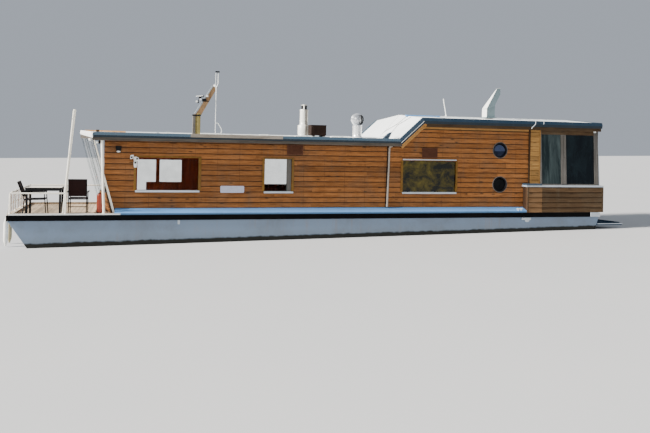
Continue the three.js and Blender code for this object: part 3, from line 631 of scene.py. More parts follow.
CORNER_LEFT = -6.24
KNEE = DECK + (END_FOOT - CORNER_LEFT) / END_LEAN
PILASTER_LEFT, WALL_RIGHT = 6.135, 6.51
CAP_LEFT = 5.935
BAY_LEFT, BAY_RIGHT, BAY_HALF = 5.97, 8.58, 1.75
CAP_LOW, CAP_TOP = 1.8273, 1.8773
PARAPET_TOP = 1.62
NEAR_WALL = on_side(-1, WALL)
# pieces stand a hair above what they rest on, and a gap clear of the wall or the roof that they meet
HAIR, GAP = 0.0003, 0.0006


def end_at(z):
    return END_FOOT - END_LEAN * (z - DECK)


def wall_left(z):
    if z <= LOW_UNDER:
        return max(CORNER_LEFT, end_at(z))
    return UNDER_LOW + (z - LOW_UNDER) / math.tan(CLIMB)


def window(name, face, left, right, low, high, **own):
    """A window's opening. Its casing is given as widths at the left, right, head and foot."""
    usual = {"casing": (0.06, 0.06, 0.045, 0.045), "lap": 0.003, "rim": 0.030, "back": -0.048, "bars": [],
             "step": None}
    return SimpleNamespace(name=name, face=face, left=left, right=right, low=low, high=high,
                           **{**usual, **own})


WINDOWS = [
    window("window_near_1", -1, -5.43, -3.78, 1.67, 2.545, casing=(0.058, 0.045, 0.042, 0.0), lap=0.034,
           rim=0.014),
    window("window_near_2", -1, -2.01, -1.20, 1.65, 2.56, casing=(0.060, 0.020, 0.030, 0.0), lap=0.045,
           rim=0.014),
    window("window_near_3", -1, 2.05, 3.74, 1.64, 2.57, casing=(0.056, 0.040, 0.0, 0.0), lap=0.016, rim=0.010,
           back=-0.018),
    window("window_far_1", 1, -5.43, -4.05, 1.70, 2.44, bars=[(-4.85, -4.74)], step=(-5.105, 1.42),
           casing=(0.06, 0.06, 0.045, 0.0)),
    window("window_far_2", 1, -2.01, -0.74, 1.65, 2.56),
    window("window_far_3", 1, 2.05, 3.74, 1.64, 2.57),
]
PORTHOLES = (("porthole_upper", 5.17, 2.916), ("porthole_lower", 5.18, 1.885))
PORT_RADIUS = 0.214
print("cabin", round(WALL_RIGHT - END_FOOT, 2), "m long at deck height")

# %% Cutting and hanging the wall boards
EASED = 0.005
FAR_OFF = 9
# half the gap between two boards end to end, and the shortest bit of board that is nailed up
BUTT, SLIVER = 0.0015, 0.004


def strip(levels, left, right, depth, place, tone):
    """One board or part of one: a band between left(z) and right(z), depth(z) proud of its wall."""
    points, faces = [], []
    for z in levels:
        a, b = min(left(z), right(z)), right(z)
        points += [place(a, z, depth(z)), place(b, z, depth(z)), place(a, z, GAP), place(b, z, GAP)]
    top = 4 * (len(levels) - 1)
    for i in range(0, top, 4):
        j = i + 4
        faces += [(i, i + 1, j + 1, j), (i + 2, j + 2, j + 3, i + 3), (i, j, j + 2, i + 2),
                  (i + 1, i + 3, j + 3, j + 1)]
    return points, faces + [(0, 2, 3, 1), (top, top + 1, top + 3, top + 2)], tone


def clad(rows, left, right, place, rng, holes=(), breaks=(), lengths=(2.2, 4.4), proud=(0.024, 0.007),
         gap=0.022, paler_rightwards=0.0):
    """Boards in rows from left(z) to right(z), butted at random places and cut round the holes."""
    parts = []
    for z0, z1 in rows:
        top = z1 - gap
        joints = [-30.0, -FAR_OFF + rng.uniform(0, 3)]
        while joints[-1] < FAR_OFF:
            joints.append(joints[-1] + rng.uniform(*lengths))
        # boards further right are made paler, by the given share per metre past x = 1.2
        boards = [(a + BUTT, b - BUTT, rng.uniform(0.76, 1.20) * (1 + paler_rightwards * max(0.0, (a + b) / 2 - 1.2)))
                  for a, b in zip(joints, joints[1:])]

        def depth(z, z0=z0, top=top):
            lean = proud[0] + (proud[1] - proud[0]) * (z - z0) / (top - z0)
            return lean - 0.005 if z == z0 else lean - 0.003 if z == top else lean

        edges = [z for hole in holes for z in hole[:2]] + list(breaks)
        cuts = sorted({z0, top} | {z for z in edges if z0 < z < top})
        for za, zb in zip(cuts, cuts[1:]):
            middle = (za + zb) / 2
            gaps = sorted((h for h in holes if h[0] < middle < h[1]), key=lambda h: h[2](middle))
            levels = {za, zb} | {z for z in (z0 + EASED, top - EASED) if za < z < zb}
            if any(hole[4] for hole in gaps):
                levels |= {za + (zb - za) * k / 8 for k in range(1, 8)}
            for start, stop in zip([left] + [h[3] for h in gaps], [h[2] for h in gaps] + [right]):
                for a, b, tone in boards:
                    if min(stop(middle), b) - max(start(middle), a) >= SLIVER:
                        ends = (lambda z: max(start(z), a), lambda z: min(stop(z), b))
                        parts.append(strip(sorted(levels), *ends, depth, place, tone))
    return parts


def upright(x):
    return lambda z: x


def window_holes(w):
    yield w.low, w.high, upright(w.left), upright(w.right), False
    if w.step:
        yield w.step[1], w.low, upright(w.left), upright(w.step[0]), False


def round_hole(x, z, radius):
    def half(level):
        return math.sqrt(max(0.0, radius * radius - (level - z) ** 2))
    return z - radius, z + radius, lambda level: x - half(level), lambda level: x + half(level), True


def rows_between(low, high, pitch=BOARD):
    count = math.ceil((high - low) / pitch - 0.15)
    return [(low + pitch * k, min(low + pitch * (k + 1), high)) for k in range(count)]


def wall_end(z):
    """The bay bulwark and its cap hide the foot of the wall at the right end."""
    return BAY_LEFT if z < CAP_LOW else CAP_LEFT if z < CAP_TOP else PILASTER_LEFT


for face, side in SIDES:
    # the far wall has no portholes
    holes = [hole for w in WINDOWS if w.face == face for hole in window_holes(w)]
    if face < 0:
        holes += [round_hole(x, z, PORT_RADIUS + 0.004) for name, x, z in PORTHOLES]
    boards = clad(rows_between(COAMING_TOP + 0.006, HIGH_UNDER), wall_left, wall_end, on_side(face, WALL),
                  random.Random(11 + face), holes, (LOW_UNDER, KNEE, CAP_LOW, CAP_TOP), paler_rightwards=0.06)
    piece("wall_boards_" + side, "wall_board", boards)
    print("boards on the", side, "wall", len(boards))
# the walls behind the boards, the bay bulwark and the parapets are near black: painted shade in the gaps and
# at the bulwark's end
dress("painted_shade_backing", "side_wall_near", "bay_bulwark", "end_parapet_near", "end_parapet_far")
dress("lining_board", "side_wall_far", "bulkhead_left", "bulkhead_right")

# %% [markdown]
# Beside the bay the wall carries a pilaster of paler boards with an upright strip at its right edge and a
# dark strip of painted shade at its left edge, and the bay itself stands on a bulwark clad in greyer boards.
# The same clad function does both, on other planes.

# %% Pilaster, bay bulwark and parapet boards
foot, head = CAP_TOP + 0.004, HIGH_UNDER - 0.004
for face, side in SIDES:
    place = on_side(face, WALL + 0.06)
    boards = clad(rows_between(foot, head), upright(PILASTER_LEFT + 0.036), upright(WALL_RIGHT - 0.036),
                  place, random.Random(5), lengths=(20, 21), proud=(0.016, 0.010), gap=0.009)
    boards.append(slab(rect(WALL_RIGHT - 0.035, WALL_RIGHT - 0.002, foot, head), -0.055, 0.024, place, 0.95))
    piece("pilaster_boards_" + side, "pilaster_board", boards, bevel=0.002)
    # a dark strip at the pilaster's left edge is painted shade in the gap beside it
    gap = slab(rect(PILASTER_LEFT - 0.006, PILASTER_LEFT + 0.034, foot, head), -0.055, -0.004, place, 0.95)
    piece("pilaster_shadow_gap_" + side, "shade_board", [gap], bevel=0.002)

BAY_SKIRT, SKIRT_TOP = 1.055, CAP_LOW - 0.002
WARM_RIGHT = 6.47
bay_rows = rows_between(BAY_SKIRT, SKIRT_TOP, 0.1545)
thick = {"proud": (0.034, 0.020), "gap": 0.014}
rng = random.Random(21)
warm_boards, bay_boards = [], []
for face, side in SIDES:
    place = on_side(face, BAY_HALF)
    warm_boards += clad(bay_rows, upright(BAY_LEFT + 0.05), upright(WARM_RIGHT), place, rng,
                        lengths=(30, 31), **thick)
    bay_boards += clad(bay_rows, upright(WARM_RIGHT + 0.004), upright(BAY_RIGHT - 0.03), place, rng, **thick)
    # a dark upright board closes the left end of each bulwark side; its low tone is painted shade
    warm_boards.append(slab(rect(BAY_LEFT - 0.004, BAY_LEFT + 0.047, BAY_SKIRT, SKIRT_TOP), 0.001, 0.036,
                            place, 0.42))
bay_boards += clad(bay_rows, upright(-1.73), upright(1.73), lambda y, z, d: (BAY_RIGHT + d, y, z), rng,
                   **thick)
bay_boards += [block((BAY_RIGHT - 0.03, y - 0.026, BAY_SKIRT), (BAY_RIGHT + 0.036, y + 0.026, SKIRT_TOP), 0.9)
               for y in (-1.755, 1.755)]
piece("bay_boards", "bay_board", bay_boards)
piece("bay_boards_left", "bay_warm_board", warm_boards)


def on_left_end(y, z, d):
    return (end_at(z) - END_VEE * (WALL - abs(y)) - 0.06 - d, y, z)


parapets = []
for a, b in ((-WALL, -0.7), (0.7, WALL)):
    parapets += clad(rows_between(DECK + 0.004, PARAPET_TOP, 0.132), upright(a), upright(b), on_left_end, rng,
                     proud=(0.02, 0.009))
piece("parapet_boards", "wall_board", parapets)
print("boards on the bay", len(bay_boards), "and on the parapets", len(parapets))

# %% [markdown]
# A window is a timber casing on the wall, a frame set back in the opening, one sheet of glass and a folded
# metal sill that throws the rain clear. The casing laps the board ends, as on the real wall, so the boards
# need no neat cut. Glass and frame are separate pieces with a finish each.

# %% Cabin windows
SILL_FOLD = [(-0.006, 0.012), (0.058, 0.004), (0.066, -0.042), (0.060, -0.043), (0.052, -0.006),
             (-0.006, 0.002)]
for w in WINDOWS:
    l, r, low, high, rim, back, place = w.left, w.right, w.low, w.high, w.rim, w.back, on_side(w.face, WALL)
    wide_left, wide_right, head, foot = w.casing
    out_l, in_l, in_r, out_r, skirt = l - wide_left, l + 0.003, r - w.lap, r + wide_right, low - foot
    outlines = [([(out_l, skirt), (in_l, skirt), (in_l, high), (out_l, high + head)], 0.040, 1.05),
                ([(in_r, skirt), (out_r, skirt), (out_r, high + head), (in_r, high)], 0.040, 0.95)]
    if head:
        outlines.append(([(out_l, high + head + 0.001), (in_l, high + 0.001), (in_r, high + 0.001),
                          (out_r, high + head + 0.001)], 0.040, 1.0))
    if foot:
        outlines.append((rect(out_l, out_r, skirt - 0.05, skirt - 0.001), 0.034, 0.9))
    casing = [slab(outline, 0.002, proud, place, tone) for outline, proud, tone in outlines]
    piece(w.name + "_casing", "casing_board", casing, bevel=0.004)

    step_x, step_z = w.step or (None, low)
    bars = [(l + 0.002, l + rim, step_z + 0.002, high - 0.002),
            (r - rim, r - 0.002, low + 0.002, high - 0.002), (l + rim, r - rim, high - rim, high - 0.002)]
    if step_x:
        bars += [(step_x - rim, r - rim, low + 0.002, low + rim),
                 (l + rim, step_x - 0.002, step_z + 0.002, step_z + rim),
                 (step_x - rim, step_x - 0.002, step_z + rim, low + 0.002)]
    else:
        bars += [(l + rim, r - rim, low + 0.002, low + rim)]
    bars += [(a, b, low + rim, high - rim) for a, b in w.bars]
    wood = "grey_timber" if w.name == "window_near_2" else "lining_board"
    bars = [slab(rect(*bar), min(back - 0.03, -0.05), back + 0.032, place, 0.9) for bar in bars]
    piece(w.name + "_frame", wood, bars, bevel=0.002, stands_for=[w.name])

    edges = [l + rim] + [x for bar in w.bars for x in (bar[0] - 0.001, bar[1] + 0.001)] + [r - rim]
    panes = [rect(a, b, low + rim, high - rim) for a, b in zip(edges[::2], edges[1::2])]
    if step_x:
        panes.append(rect(l + rim, step_x - rim, step_z + rim, low + rim))
    # the third near window's pane is painted with a reflection
    shade = "painted_reflection_glass" if w.name == "window_near_3" else "clear_glass"
    panes = [slab(pane, back - 0.005, back + 0.005, place) for pane in panes]
    piece(w.name + "_pane", shade, panes)

    spans = [(l - 0.016, r + 0.002, low)]
    if step_x:
        spans = [(l - 0.016, step_x, step_z), (step_x - 0.002, r + 0.002, low)]
    sills = [level_run([(x, w.face * WALL, z) for x in (a, b)], (0, w.face, 0)) for a, b, z in spans]
    piece(w.name + "_sill", "sill_metal", [run_profile(sill, SILL_FOLD) for sill in sills], bevel=0.0015)

flashing = slab(rect(2.040, 3.735, 2.578, 2.612), 0.002, 0.052, NEAR_WALL)
piece("window_near_3_head_flashing", "sill_metal", [flashing], bevel=0.004)
# the grey side post of a sash, seen through the second window
sash_post = slab(rect(-1.375, -1.246, 1.655, 2.545), -0.070, -0.020, NEAR_WALL)
piece("window_near_2_sash_post", "grey_timber", [sash_post], bevel=0.004)
print("cabin windows", len(WINDOWS))

# %% [markdown]
# The two portholes are round panes in a black rubber ring. The ring is a profile turned about the port's
# own axis, laid over from upright, which rounds it properly where a torus would look like a tyre.

# %% Portholes
RUBBER = [(0.188, 0.0), (0.190, 0.020), (0.198, 0.032), (0.212, 0.038), (0.224, 0.034), (0.228, 0.026),
          (0.228, 0.022), (0.212, 0.018), (0.212, -0.07), (0.188, -0.07), (0.188, 0.0)]
TRIM = [(0.2285, 0.020), (0.2290, 0.031), (0.235, 0.034), (0.243, 0.031), (0.246, 0.020), (0.2285, 0.020)]
PORT_GLASS = 0.190


def laid_over(profile, px, pz):
    points, faces, tone = turned(profile, (0, 0, 0), 56, capped=False)
    return [([(px + x, -WALL - z, pz + y) for x, y, z in points], faces, tone)]


# each pane is two half discs: the upper half of the upper port is a painted reflection of the sky, and the
# other halves are painted shade of the dark room
shades = (("painted_sky_glass", "dusk_glass"), ("room_glass", "room_glass"))
for (name, px, pz), (upper, lower) in zip(PORTHOLES, shades):
    piece(name + "_ring", "rubber_seal", laid_over(RUBBER, px, pz), smooth=40, stands_for=[name])
    piece(name + "_trim", "grey_timber", laid_over(TRIM, px, pz), smooth=40)
    for part, turn, shade in (("upper", 0.0, upper), ("lower", math.pi, lower)):
        arc = [turn + math.pi * k / 28 for k in range(29)]
        disc = [(px + PORT_GLASS * math.cos(a), pz - 0.03 + PORT_GLASS * math.sin(a)) for a in arc]
        piece(name + "_" + part + "_pane", shade, [slab(disc, -0.030, -0.020, NEAR_WALL)])
print("portholes", len(PORTHOLES))

# %% [markdown]
# The bay is glazed on three sides between weathered posts. Its long panes lean inwards at the top, so the
# bars are drawn upright and then sheared into place, and the glass is sheared with them.

# %% Bay glazing
BAY_LEAN = 0.062
BAY_FOOT, BAY_HEAD = CAP_TOP + HAIR, HIGH_UNDER - GAP
BAY_SILL, BAY_GLASS_TOP = BAY_FOOT + 0.035, 3.43
POST_RIGHT, MULLION_LEFT, MULLION_RIGHT, LAST_POST = WALL_RIGHT + 0.037, 7.213, 7.388, 8.385


def bay_side(face):
    return lambda x, z, d: (x, face * (WALL + 0.12 + d - BAY_LEAN * (z - BAY_FOOT)), z)


def toned_bars(bars, low, high, place):
    """Bars of (x0, x1, z0, z1, proud), each a little paler than the one before."""
    return [slab(rect(*bar[:4]), low, high + bar[4], place, 0.85 + 0.06 * k) for k, bar in enumerate(bars)]


for face, side in SIDES:
    bars = [(WALL_RIGHT + 0.002, POST_RIGHT, BAY_FOOT, BAY_HEAD, 0.0),
            (LAST_POST, 8.535, BAY_FOOT, BAY_HEAD, 0.004),
            (MULLION_LEFT, 7.296, BAY_SILL, BAY_GLASS_TOP, 0.006),
            (7.304, MULLION_RIGHT, BAY_SILL, BAY_GLASS_TOP, 0.012),
            (POST_RIGHT, LAST_POST, BAY_FOOT, BAY_SILL, 0.0)]
    place = bay_side(face)
    piece("bay_frame_" + side, "grey_timber", toned_bars(bars, -0.03, 0.03, place), bevel=0.004,
          stands_for=["bay_window_" + side])
    board = slab(rect(POST_RIGHT, LAST_POST, BAY_GLASS_TOP, BAY_HEAD), -0.03, 0.034, place)
    piece("bay_head_board_" + side, "bay_board", [board], bevel=0.004)
    for name, shade, a, b in (("bay_pane_left_", "curtain_glass", POST_RIGHT, MULLION_LEFT),
                              ("bay_pane_right_", "bay_glass", MULLION_RIGHT, LAST_POST)):
        pane = slab(rect(a, b, BAY_SILL, BAY_GLASS_TOP), 0.006, 0.016, place)
        piece(name + side, shade, [pane])


def on_bay_end(y, z, d):
    return (8.47 + d, y, z)


END_SILL, END_TOP = BAY_FOOT + 0.06, 3.59
bars = [(-1.47, -1.41, BAY_FOOT, BAY_HEAD, 0), (1.41, 1.47, BAY_FOOT, BAY_HEAD, 0),
        (-0.56, -0.45, END_SILL, END_TOP, 0), (0.45, 0.56, END_SILL, END_TOP, 0),
        (-1.41, 1.41, BAY_FOOT, END_SILL, 0), (-1.41, 1.41, END_TOP, BAY_HEAD, 0)]
corner_posts = [block((8.5005, f * 1.47, BAY_FOOT), (8.534, f * 1.57, BAY_HEAD), 0.8) for f in (-1, 1)]
piece("bay_frame_end", "grey_timber", toned_bars(bars, -0.03, 0.03, on_bay_end) + corner_posts, bevel=0.004,
      stands_for=["bay_window_end"])
panes = [slab(rect(a, b, END_SILL + 0.001, END_TOP - 0.001), -0.006, 0.006, on_bay_end)
         for a, b in ((-1.409, -0.561), (-0.449, 0.449), (0.561, 1.409))]
piece("bay_panes_end", "bay_glass", panes)
# a pale folded strip covers the outer edge of each corner post
fold = [(8.5365, BAY_FOOT), (8.562, BAY_FOOT), (8.552, BAY_HEAD), (8.5365, BAY_HEAD)]
strips = [slab(fold, -0.03, 0.030, bay_side(face)) for face in (-1, 1)]
piece("bay_corner_strips", "sill_metal", strips, bevel=0.002)
piece("bay_cap_flashing", "navy_paint",
      [block((CAP_LEFT - 0.012, -1.806, CAP_TOP + 0.0005), (6.455, -1.56, CAP_TOP + 0.046))], bevel=0.006)
print("bay glazed on three sides")

# %% [markdown]
# The left end is a wall of glass that leans out and comes to a point, like the front of a conservatory.
# The panes are toughened sheets in clear edge strips, with no timber between them, so the end looks open. The
# door slides behind the far pane, so its strips and glass ride on the door's own body.

# %% Left end glazing and sliding door
WALL_HEAD = LOW_UNDER - GAP


def framed(name, y0, y1, z0, z1, t0=-0.06, t1=-0.001, wide=0.008, body="boat", stands_for=(), fittings=()):
    """A pane with edge strips on the left end's leaning plane; fittings are more bars of it."""
    def place(y, z, t):
        return (end_at(z) - END_VEE * (WALL - abs(y)) + t, y, z)

    in_y0, in_y1, in_z0, in_z1, mid = y0 + wide, y1 - wide, z0 + wide, z1 - wide, (t0 + t1) / 2
    bars = [(y0, in_y0, z0, z1, t0, t1), (in_y1, y1, z0, z1, t0, t1), (in_y0, in_y1, z0, in_z0, t0, t1),
            (in_y0, in_y1, in_z1, z1, t0, t1), *fittings]
    strips = [slab(rect(*bar[:4]), *bar[4:], place) for bar in bars]
    piece(name + "_frame", "edge_glass", strips, body, bevel=0.002, stands_for=stands_for)
    pane = slab(rect(in_y0, in_y1, in_z0, in_z1), mid - 0.005, mid + 0.005, place)
    piece(name + "_pane", "end_glass", [pane], body)


framed("end_window_near", -WALL + 0.002, -0.701, PARAPET_TOP + 0.001, WALL_HEAD,
       stands_for=["end_window_near"])
framed("end_light_near", -0.699, -0.016, DECK + 0.001, WALL_HEAD)
framed("end_window_far", 0.701, WALL - 0.002, PARAPET_TOP + 0.001, WALL_HEAD, stands_for=["end_window_far"])
door_foot = DECK + 0.0123
runners = [(a, a + 0.08, door_foot - 0.0117, door_foot, 0.022, 0.042) for a in (0.11, 0.59)]
handle = (0.045, 0.075, 2.0, 2.3, 0.006, 0.012)
framed("sliding_door", 0.03, 0.71, door_foot, WALL_HEAD - 0.012, 0.012, 0.052, 0.012, "door",
       ["sliding_door"], [*runners, handle])
dress("edge_glass", "end_post")


def triangle(inset):
    steep = inset * math.hypot(1, END_LEAN)
    x, z = CORNER_LEFT - GAP - inset, WALL_HEAD - inset
    return [(x, DECK + (END_FOOT - x + steep) / END_LEAN), (x, z), (end_at(z) + steep, z)]


outer, inner = triangle(0.0), triangle(0.012)
foot, head = end_at(DECK + 0.002), end_at(WALL_HEAD)
edging = [(foot - 0.026, DECK + 0.002), (foot + 0.034, DECK + 0.002),
          (head + 0.012, WALL_HEAD), (head - 0.018, WALL_HEAD)]
for face, side in SIDES:
    place = on_side(face, WALL)
    frames = [slab([outer[k], outer[n], inner[n], inner[k]], -0.079, 0.004, place)
              for k, n in ((0, 1), (1, 2), (2, 0))]
    piece("corner_frame_" + side, "edge_glass", frames, stands_for=["corner_window_" + side])
    piece("corner_pane_" + side, "end_glass", [slab(inner, -0.045, -0.035, place)])
    # thin pale edging up the raked end, from the deck to the roof
    shade = "cream_paint" if face < 0 else "edge_glass"
    piece("end_edging_" + side, shade, [slab(edging, -0.03, 0.030, place)], bevel=0.002)
print("left end glazed")

# %% [markdown]
# The roof is three sheets with a deep dark-blue fascia folded over the edge. The fascia is one bent profile
# carried along the eave, up the slope and along the upper eave, with a mitred corner at each bend.

# %% Roof edges
FASCIA = [(-0.09, 0.002), (0.004, 0.012), (0.011, 0.008), (0.030, -0.066), (0.028, -0.070), (0.001, -0.070),
          (0.001, -0.004), (-0.09, -0.006)]
TALL_FASCIA = [(a, b if b > -0.02 else b * 1.3) for a, b in FASCIA]
FACE = [(0.001, -0.0705), (0.026, -0.0705), (0.012, -0.124), (0.001, -0.124)]
SLOPE_FACE = [(0.001, -0.1055), (0.022, -0.1055), (0.014, -0.158), (0.001, -0.158)]
TALL_FACE = [(0.001, -0.0915), (0.028, -0.0915), (0.018, -0.165), (0.001, -0.165)]
END_FASCIA = [(-0.09, 0.002), (0.004, 0.010), (0.011, 0.008), (0.024, -0.050), (0.016, -0.100),
              (0.001, -0.100), (0.001, -0.004), (-0.09, -0.006)]
for face, side in SIDES:
    bends = [(-6.53, LOW_EAVE, UP), (STEP_LOW, LOW_EAVE, MITRE_UP), (STEP_HIGH, HIGH_EAVE, MITRE_UP),
             (8.535, HIGH_EAVE, UP)]
    out = Vector((0, face, 0))
    stations = [(Vector((x, face * ROOF_HALF, z)), out, up) for x, z, up in bends]
    low, slope, high = stations[:2], stations[1:3], stations[2:]
    piece("fascia_" + side, "fascia_metal", [run_profile(low, FASCIA)], bevel=0.002)
    piece("upper_fascia_" + side, "upper_fascia_metal", [run_profile(stations[1:], TALL_FASCIA)], bevel=0.002)
    # the lower face of the fascia is painted a darker blue than the lip above it: painted shade
    faces = [run_profile(low, FACE), run_profile(slope, SLOPE_FACE), run_profile(high, TALL_FACE)]
    piece("fascia_face_" + side, "fascia_face", faces, bevel=0.002)
    piece("drip_strip_" + side, "white_metal", [run_profile(slope, rect(0.001, 0.030, -0.105, -0.0915))],
          bevel=0.002)
    # a grey-brown board below the metal of the lower eave and a dark one below the upper eave, both painted
    # dark as the shade under the eaves
    piece("eave_board_low_" + side, "shaded_eave_timber", [run_profile(low, rect(0.001, 0.013, -0.206, -0.1225))],
          bevel=0.003)
    board = block((STEP_HIGH + 0.13, face * 1.735, HIGH_UNDER - 0.100),
                  (8.51, face * 1.749, HIGH_UNDER - 0.001))
    piece("eave_board_high_" + side, "shade_board", [board], bevel=0.003)
    # golden trim in two steps along the head of the wall under the slope and the upper roof
    bends = ((UNDER_LOW, LOW_UNDER, SLOPE_UP), (UNDER_HIGH, HIGH_UNDER, MITRE_UP),
             (PILASTER_LEFT - 0.02, HIGH_UNDER, UP))
    stations = [(Vector((x, face * WALL, z)), out, up) for x, z, up in bends]
    trims = [run_profile(stations, rect(0.030, 0.062, -0.075, -0.003), 1.1),
             run_profile(stations, rect(0.028, 0.044, -0.150, -0.079), 0.85)]
    piece("head_trim_" + side, "trim_board", trims, bevel=0.003)
    gap = block((UNDER_HIGH + 0.06, face * (WALL + 0.024), HIGH_UNDER - 0.178),
                (PILASTER_LEFT - 0.008, face * (WALL + 0.034), HIGH_UNDER - 0.151), 0.8)
    piece("head_trim_shadow_gap_" + side, "shade_board", [gap], bevel=0.002)

apex = (8.52, 0, HIGH_EAVE + HIGH_RISE)
eaves = [(8.52, y, HIGH_EAVE) for y in (-ROOF_HALF - 0.02, ROOF_HALF + 0.02)]
piece("fascia_right_end", "upper_fascia_metal",
      [run_profile(level_run([eaves[0], apex, eaves[1]], (1, 0, 0)), TALL_FASCIA)], bevel=0.003)

# at the left end the fascia runs to a point, and a dark strip of painted shade below it deepens from the eave
# to the tip
tip = Vector((-6.94, 0, LOW_EAVE + LOW_RISE))
under = []
for face, name, metal in ((-1, "fascia_left_white", "white_metal"), (1, "fascia_left_far", "fascia_metal")):
    eave = Vector((-6.515, face * (ROOF_HALF + 0.02), LOW_EAVE))
    along = (tip - eave).normalized()
    out = Vector((-abs(along.y), face * abs(along.x), 0)).normalized()
    mitre_out = Vector((-1 / abs(out.x), 0, 0))
    piece(name, metal, [run_profile([(eave, out, UP * 1.42), (tip, mitre_out, UP)], END_FASCIA)], bevel=0.003)
    stations = [(eave - UP * 0.1425, out, UP * 0.017), (tip - UP * 0.1005, mitre_out, UP * 0.109)]
    under.append(run_profile(stations, [(0.001, 0.0), (0.009, 0.0), (0.009, -1.0), (0.001, -1.0)]))
piece("fascia_left_under", "shaded_eave_timber", under, bevel=0.001)
print("fascias on", ROOF_HALF * 2, "m of roof width")

# %% [markdown]
# The sheets themselves are pale and lap each other. Thin raised seams across the flat parts and up the slope
# break the light, and they follow the rise of the roof to its middle line.

# %% Roof sheets and seams
dress("roof_sheet", "roof_lower", "roof_slope", "roof_upper")


def roof_top(x, y):
    rise = 1 - abs(y) / ROOF_HALF
    return LOW_EAVE + LOW_RISE * rise if x < STEP_LOW else HIGH_EAVE + HIGH_RISE * rise


def on_slope(share, y):
    rise = 1 - abs(y) / ROOF_HALF
    low = Vector((STEP_LOW - LOW_RISE * MITRE * rise, y, LOW_EAVE + LOW_RISE * rise))
    high = Vector((STEP_HIGH - HIGH_RISE * MITRE * rise, y, HIGH_EAVE + HIGH_RISE * rise))
    return low.lerp(high, share) + SLOPE_UP * 0.006


seam = [(-0.035, -0.004), (-0.035, 0.004), (-0.008, 0.009), (0.008, 0.009), (0.035, 0.004), (0.035, -0.004)]
seams = [run_profile(level_run([(x, y, roof_top(x, y)) for y in (-1.66, 0.0, 1.66)], (1, 0, 0)), seam)
         for x in [-5.9 + 1.02 * k for k in range(8)] + [3.35 + 1.02 * k for k in range(5)]]
piece("roof_seams", "zinc", seams)

# on the far half the sheet is packed out, so that its edge lies 0.2 m further left at the eave
WEDGE_SHIFT, WEDGE_EDGE = 0.20, 1.70


def on_wedge(share, y):
    return on_slope(share, y) - Vector((WEDGE_SHIFT * y / WEDGE_EDGE, 0, 0))


packing = [on_wedge(share, y) for share in (0, 1) for y in (0.0, WEDGE_EDGE / 2, WEDGE_EDGE)]
edge = [on_wedge(0, WEDGE_EDGE), on_wedge(1, WEDGE_EDGE), on_slope(1, WEDGE_EDGE), on_slope(0, WEDGE_EDGE)]
piece("slope_packing", "roof_sheet", [(
    packing + [edge[3], edge[2]],
    [(0, 1, 4, 3), (1, 2, 5, 4), (3, 4, 5, 7), (0, 6, 2, 1), (0, 3, 7, 6), (2, 6, 7, 5)], 1.0)])
cover = [p + Vector((-0.045 if k < 2 else 0.0, y, 0.012)) for y in (0.001, 0.022) for k, p in enumerate(edge)]
piece("slope_packing_edge", "fascia_metal", [prism(cover)])
# two thin beads of sealant wander up the slope, where the sheets meet
routes = ([(0.04, 1.0), (0.10, 0.1), (0.34, -0.1), (0.62, -0.45), (0.98, -0.6)],
          [(0.02, 0.5), (0.06, -0.4), (0.30, -0.62), (0.58, -0.55), (0.97, -0.95)])
beads = [pipe([on_slope(*spot) for spot in route], 0.005, 6) for route in routes]
piece("slope_beads", "black_paint", beads, smooth=40)
print("roof seams", len(seams))

# %% Loose things on the roof
cowl = [(1.405, 3.192), (1.560, 3.192), (1.600, 3.250), (1.655, 3.372), (1.615, 3.372), (1.545, 3.330),
        (1.470, 3.262)]
cowl_foot = block((1.395, -1.655, 3.185), (1.570, -1.505, 3.196))
piece("roof_cowl", "navy_paint", [slab(cowl, -1.64, -1.52, across), cowl_foot], bevel=0.006)
piece("roof_flashing_bar", "coaming_metal",
      [block((2.44, -0.72, HIGH_EAVE + 0.078), (3.55, -0.60, HIGH_EAVE + 0.120))], bevel=0.006)
# six low pale caps lie near the eave
caps = []
for x0, x1, y, top in ((-3.79, -3.17, -1.45, 0.034), (-2.55, -2.33, -1.40, 0.026),
                       (-2.18, -1.86, -1.40, 0.036), (-1.14, -0.62, -1.30, 0.028),
                       (-0.10, 0.52, -1.30, 0.034), (-4.68, -4.60, -1.4, 0.030)):
    foot = LOW_EAVE + LOW_RISE * (1 - (abs(y) + 0.11) / ROOF_HALF) - 0.004
    caps.append(slab([(x0, foot), (x1, foot), (x1 - 0.02, foot + top), (x1 - 0.08, foot + top + 0.012),
                      (x0 + 0.10, foot + top + 0.012), (x0 + 0.02, foot + top)], y - 0.10, y + 0.10, across))
piece("roof_caps", "white_metal", caps, bevel=0.008)
# two bent rods hook over the edge of the upper roof
hooks = [pipe([(6.24, -1.70, HIGH_EAVE + 0.022), (6.20, -1.792, HIGH_EAVE + 0.014), (6.185, -1.796, 3.72),
               (6.13, -1.797, 3.665), (6.075, -1.797, 3.62), (6.06, -1.793, 3.58)], 0.008, 8),
         pipe([(6.49, -1.70, HIGH_EAVE + 0.022), (6.475, -1.792, HIGH_EAVE + 0.014),
               (6.468, -1.796, 3.73)], 0.007, 8)]
piece("eave_hooks", "grey_plastic", hooks, smooth=40)
ridge = [(-0.09, -0.005), (-0.09, 0.002), (0.0, 0.012), (0.09, 0.002), (0.09, -0.005)]
runs = [level_run([(x0, 0, z), (x1, 0, z)], (0, 1, 0))
        for x0, x1, z in ((-6.85, STEP_LOW - 0.1, LOW_EAVE + LOW_RISE),
                          (STEP_HIGH + 0.02, 8.45, HIGH_EAVE + HIGH_RISE))]
piece("roof_ridge_cap", "zinc", [run_profile(run, ridge) for run in runs])
piece("roof_plank", "plank_timber", [block((-4.047, -1.796, 3.103), (-1.564, -1.781, 3.196))], bevel=0.004)
board = [(-6.79, -0.62), (-5.72, -1.26), (-5.72, -1.14), (-6.79, -0.50)]
knot = block((-6.48, -1.10, LOW_EAVE + 0.018), (-6.40, -1.02, LOW_EAVE + 0.075), 0.12)
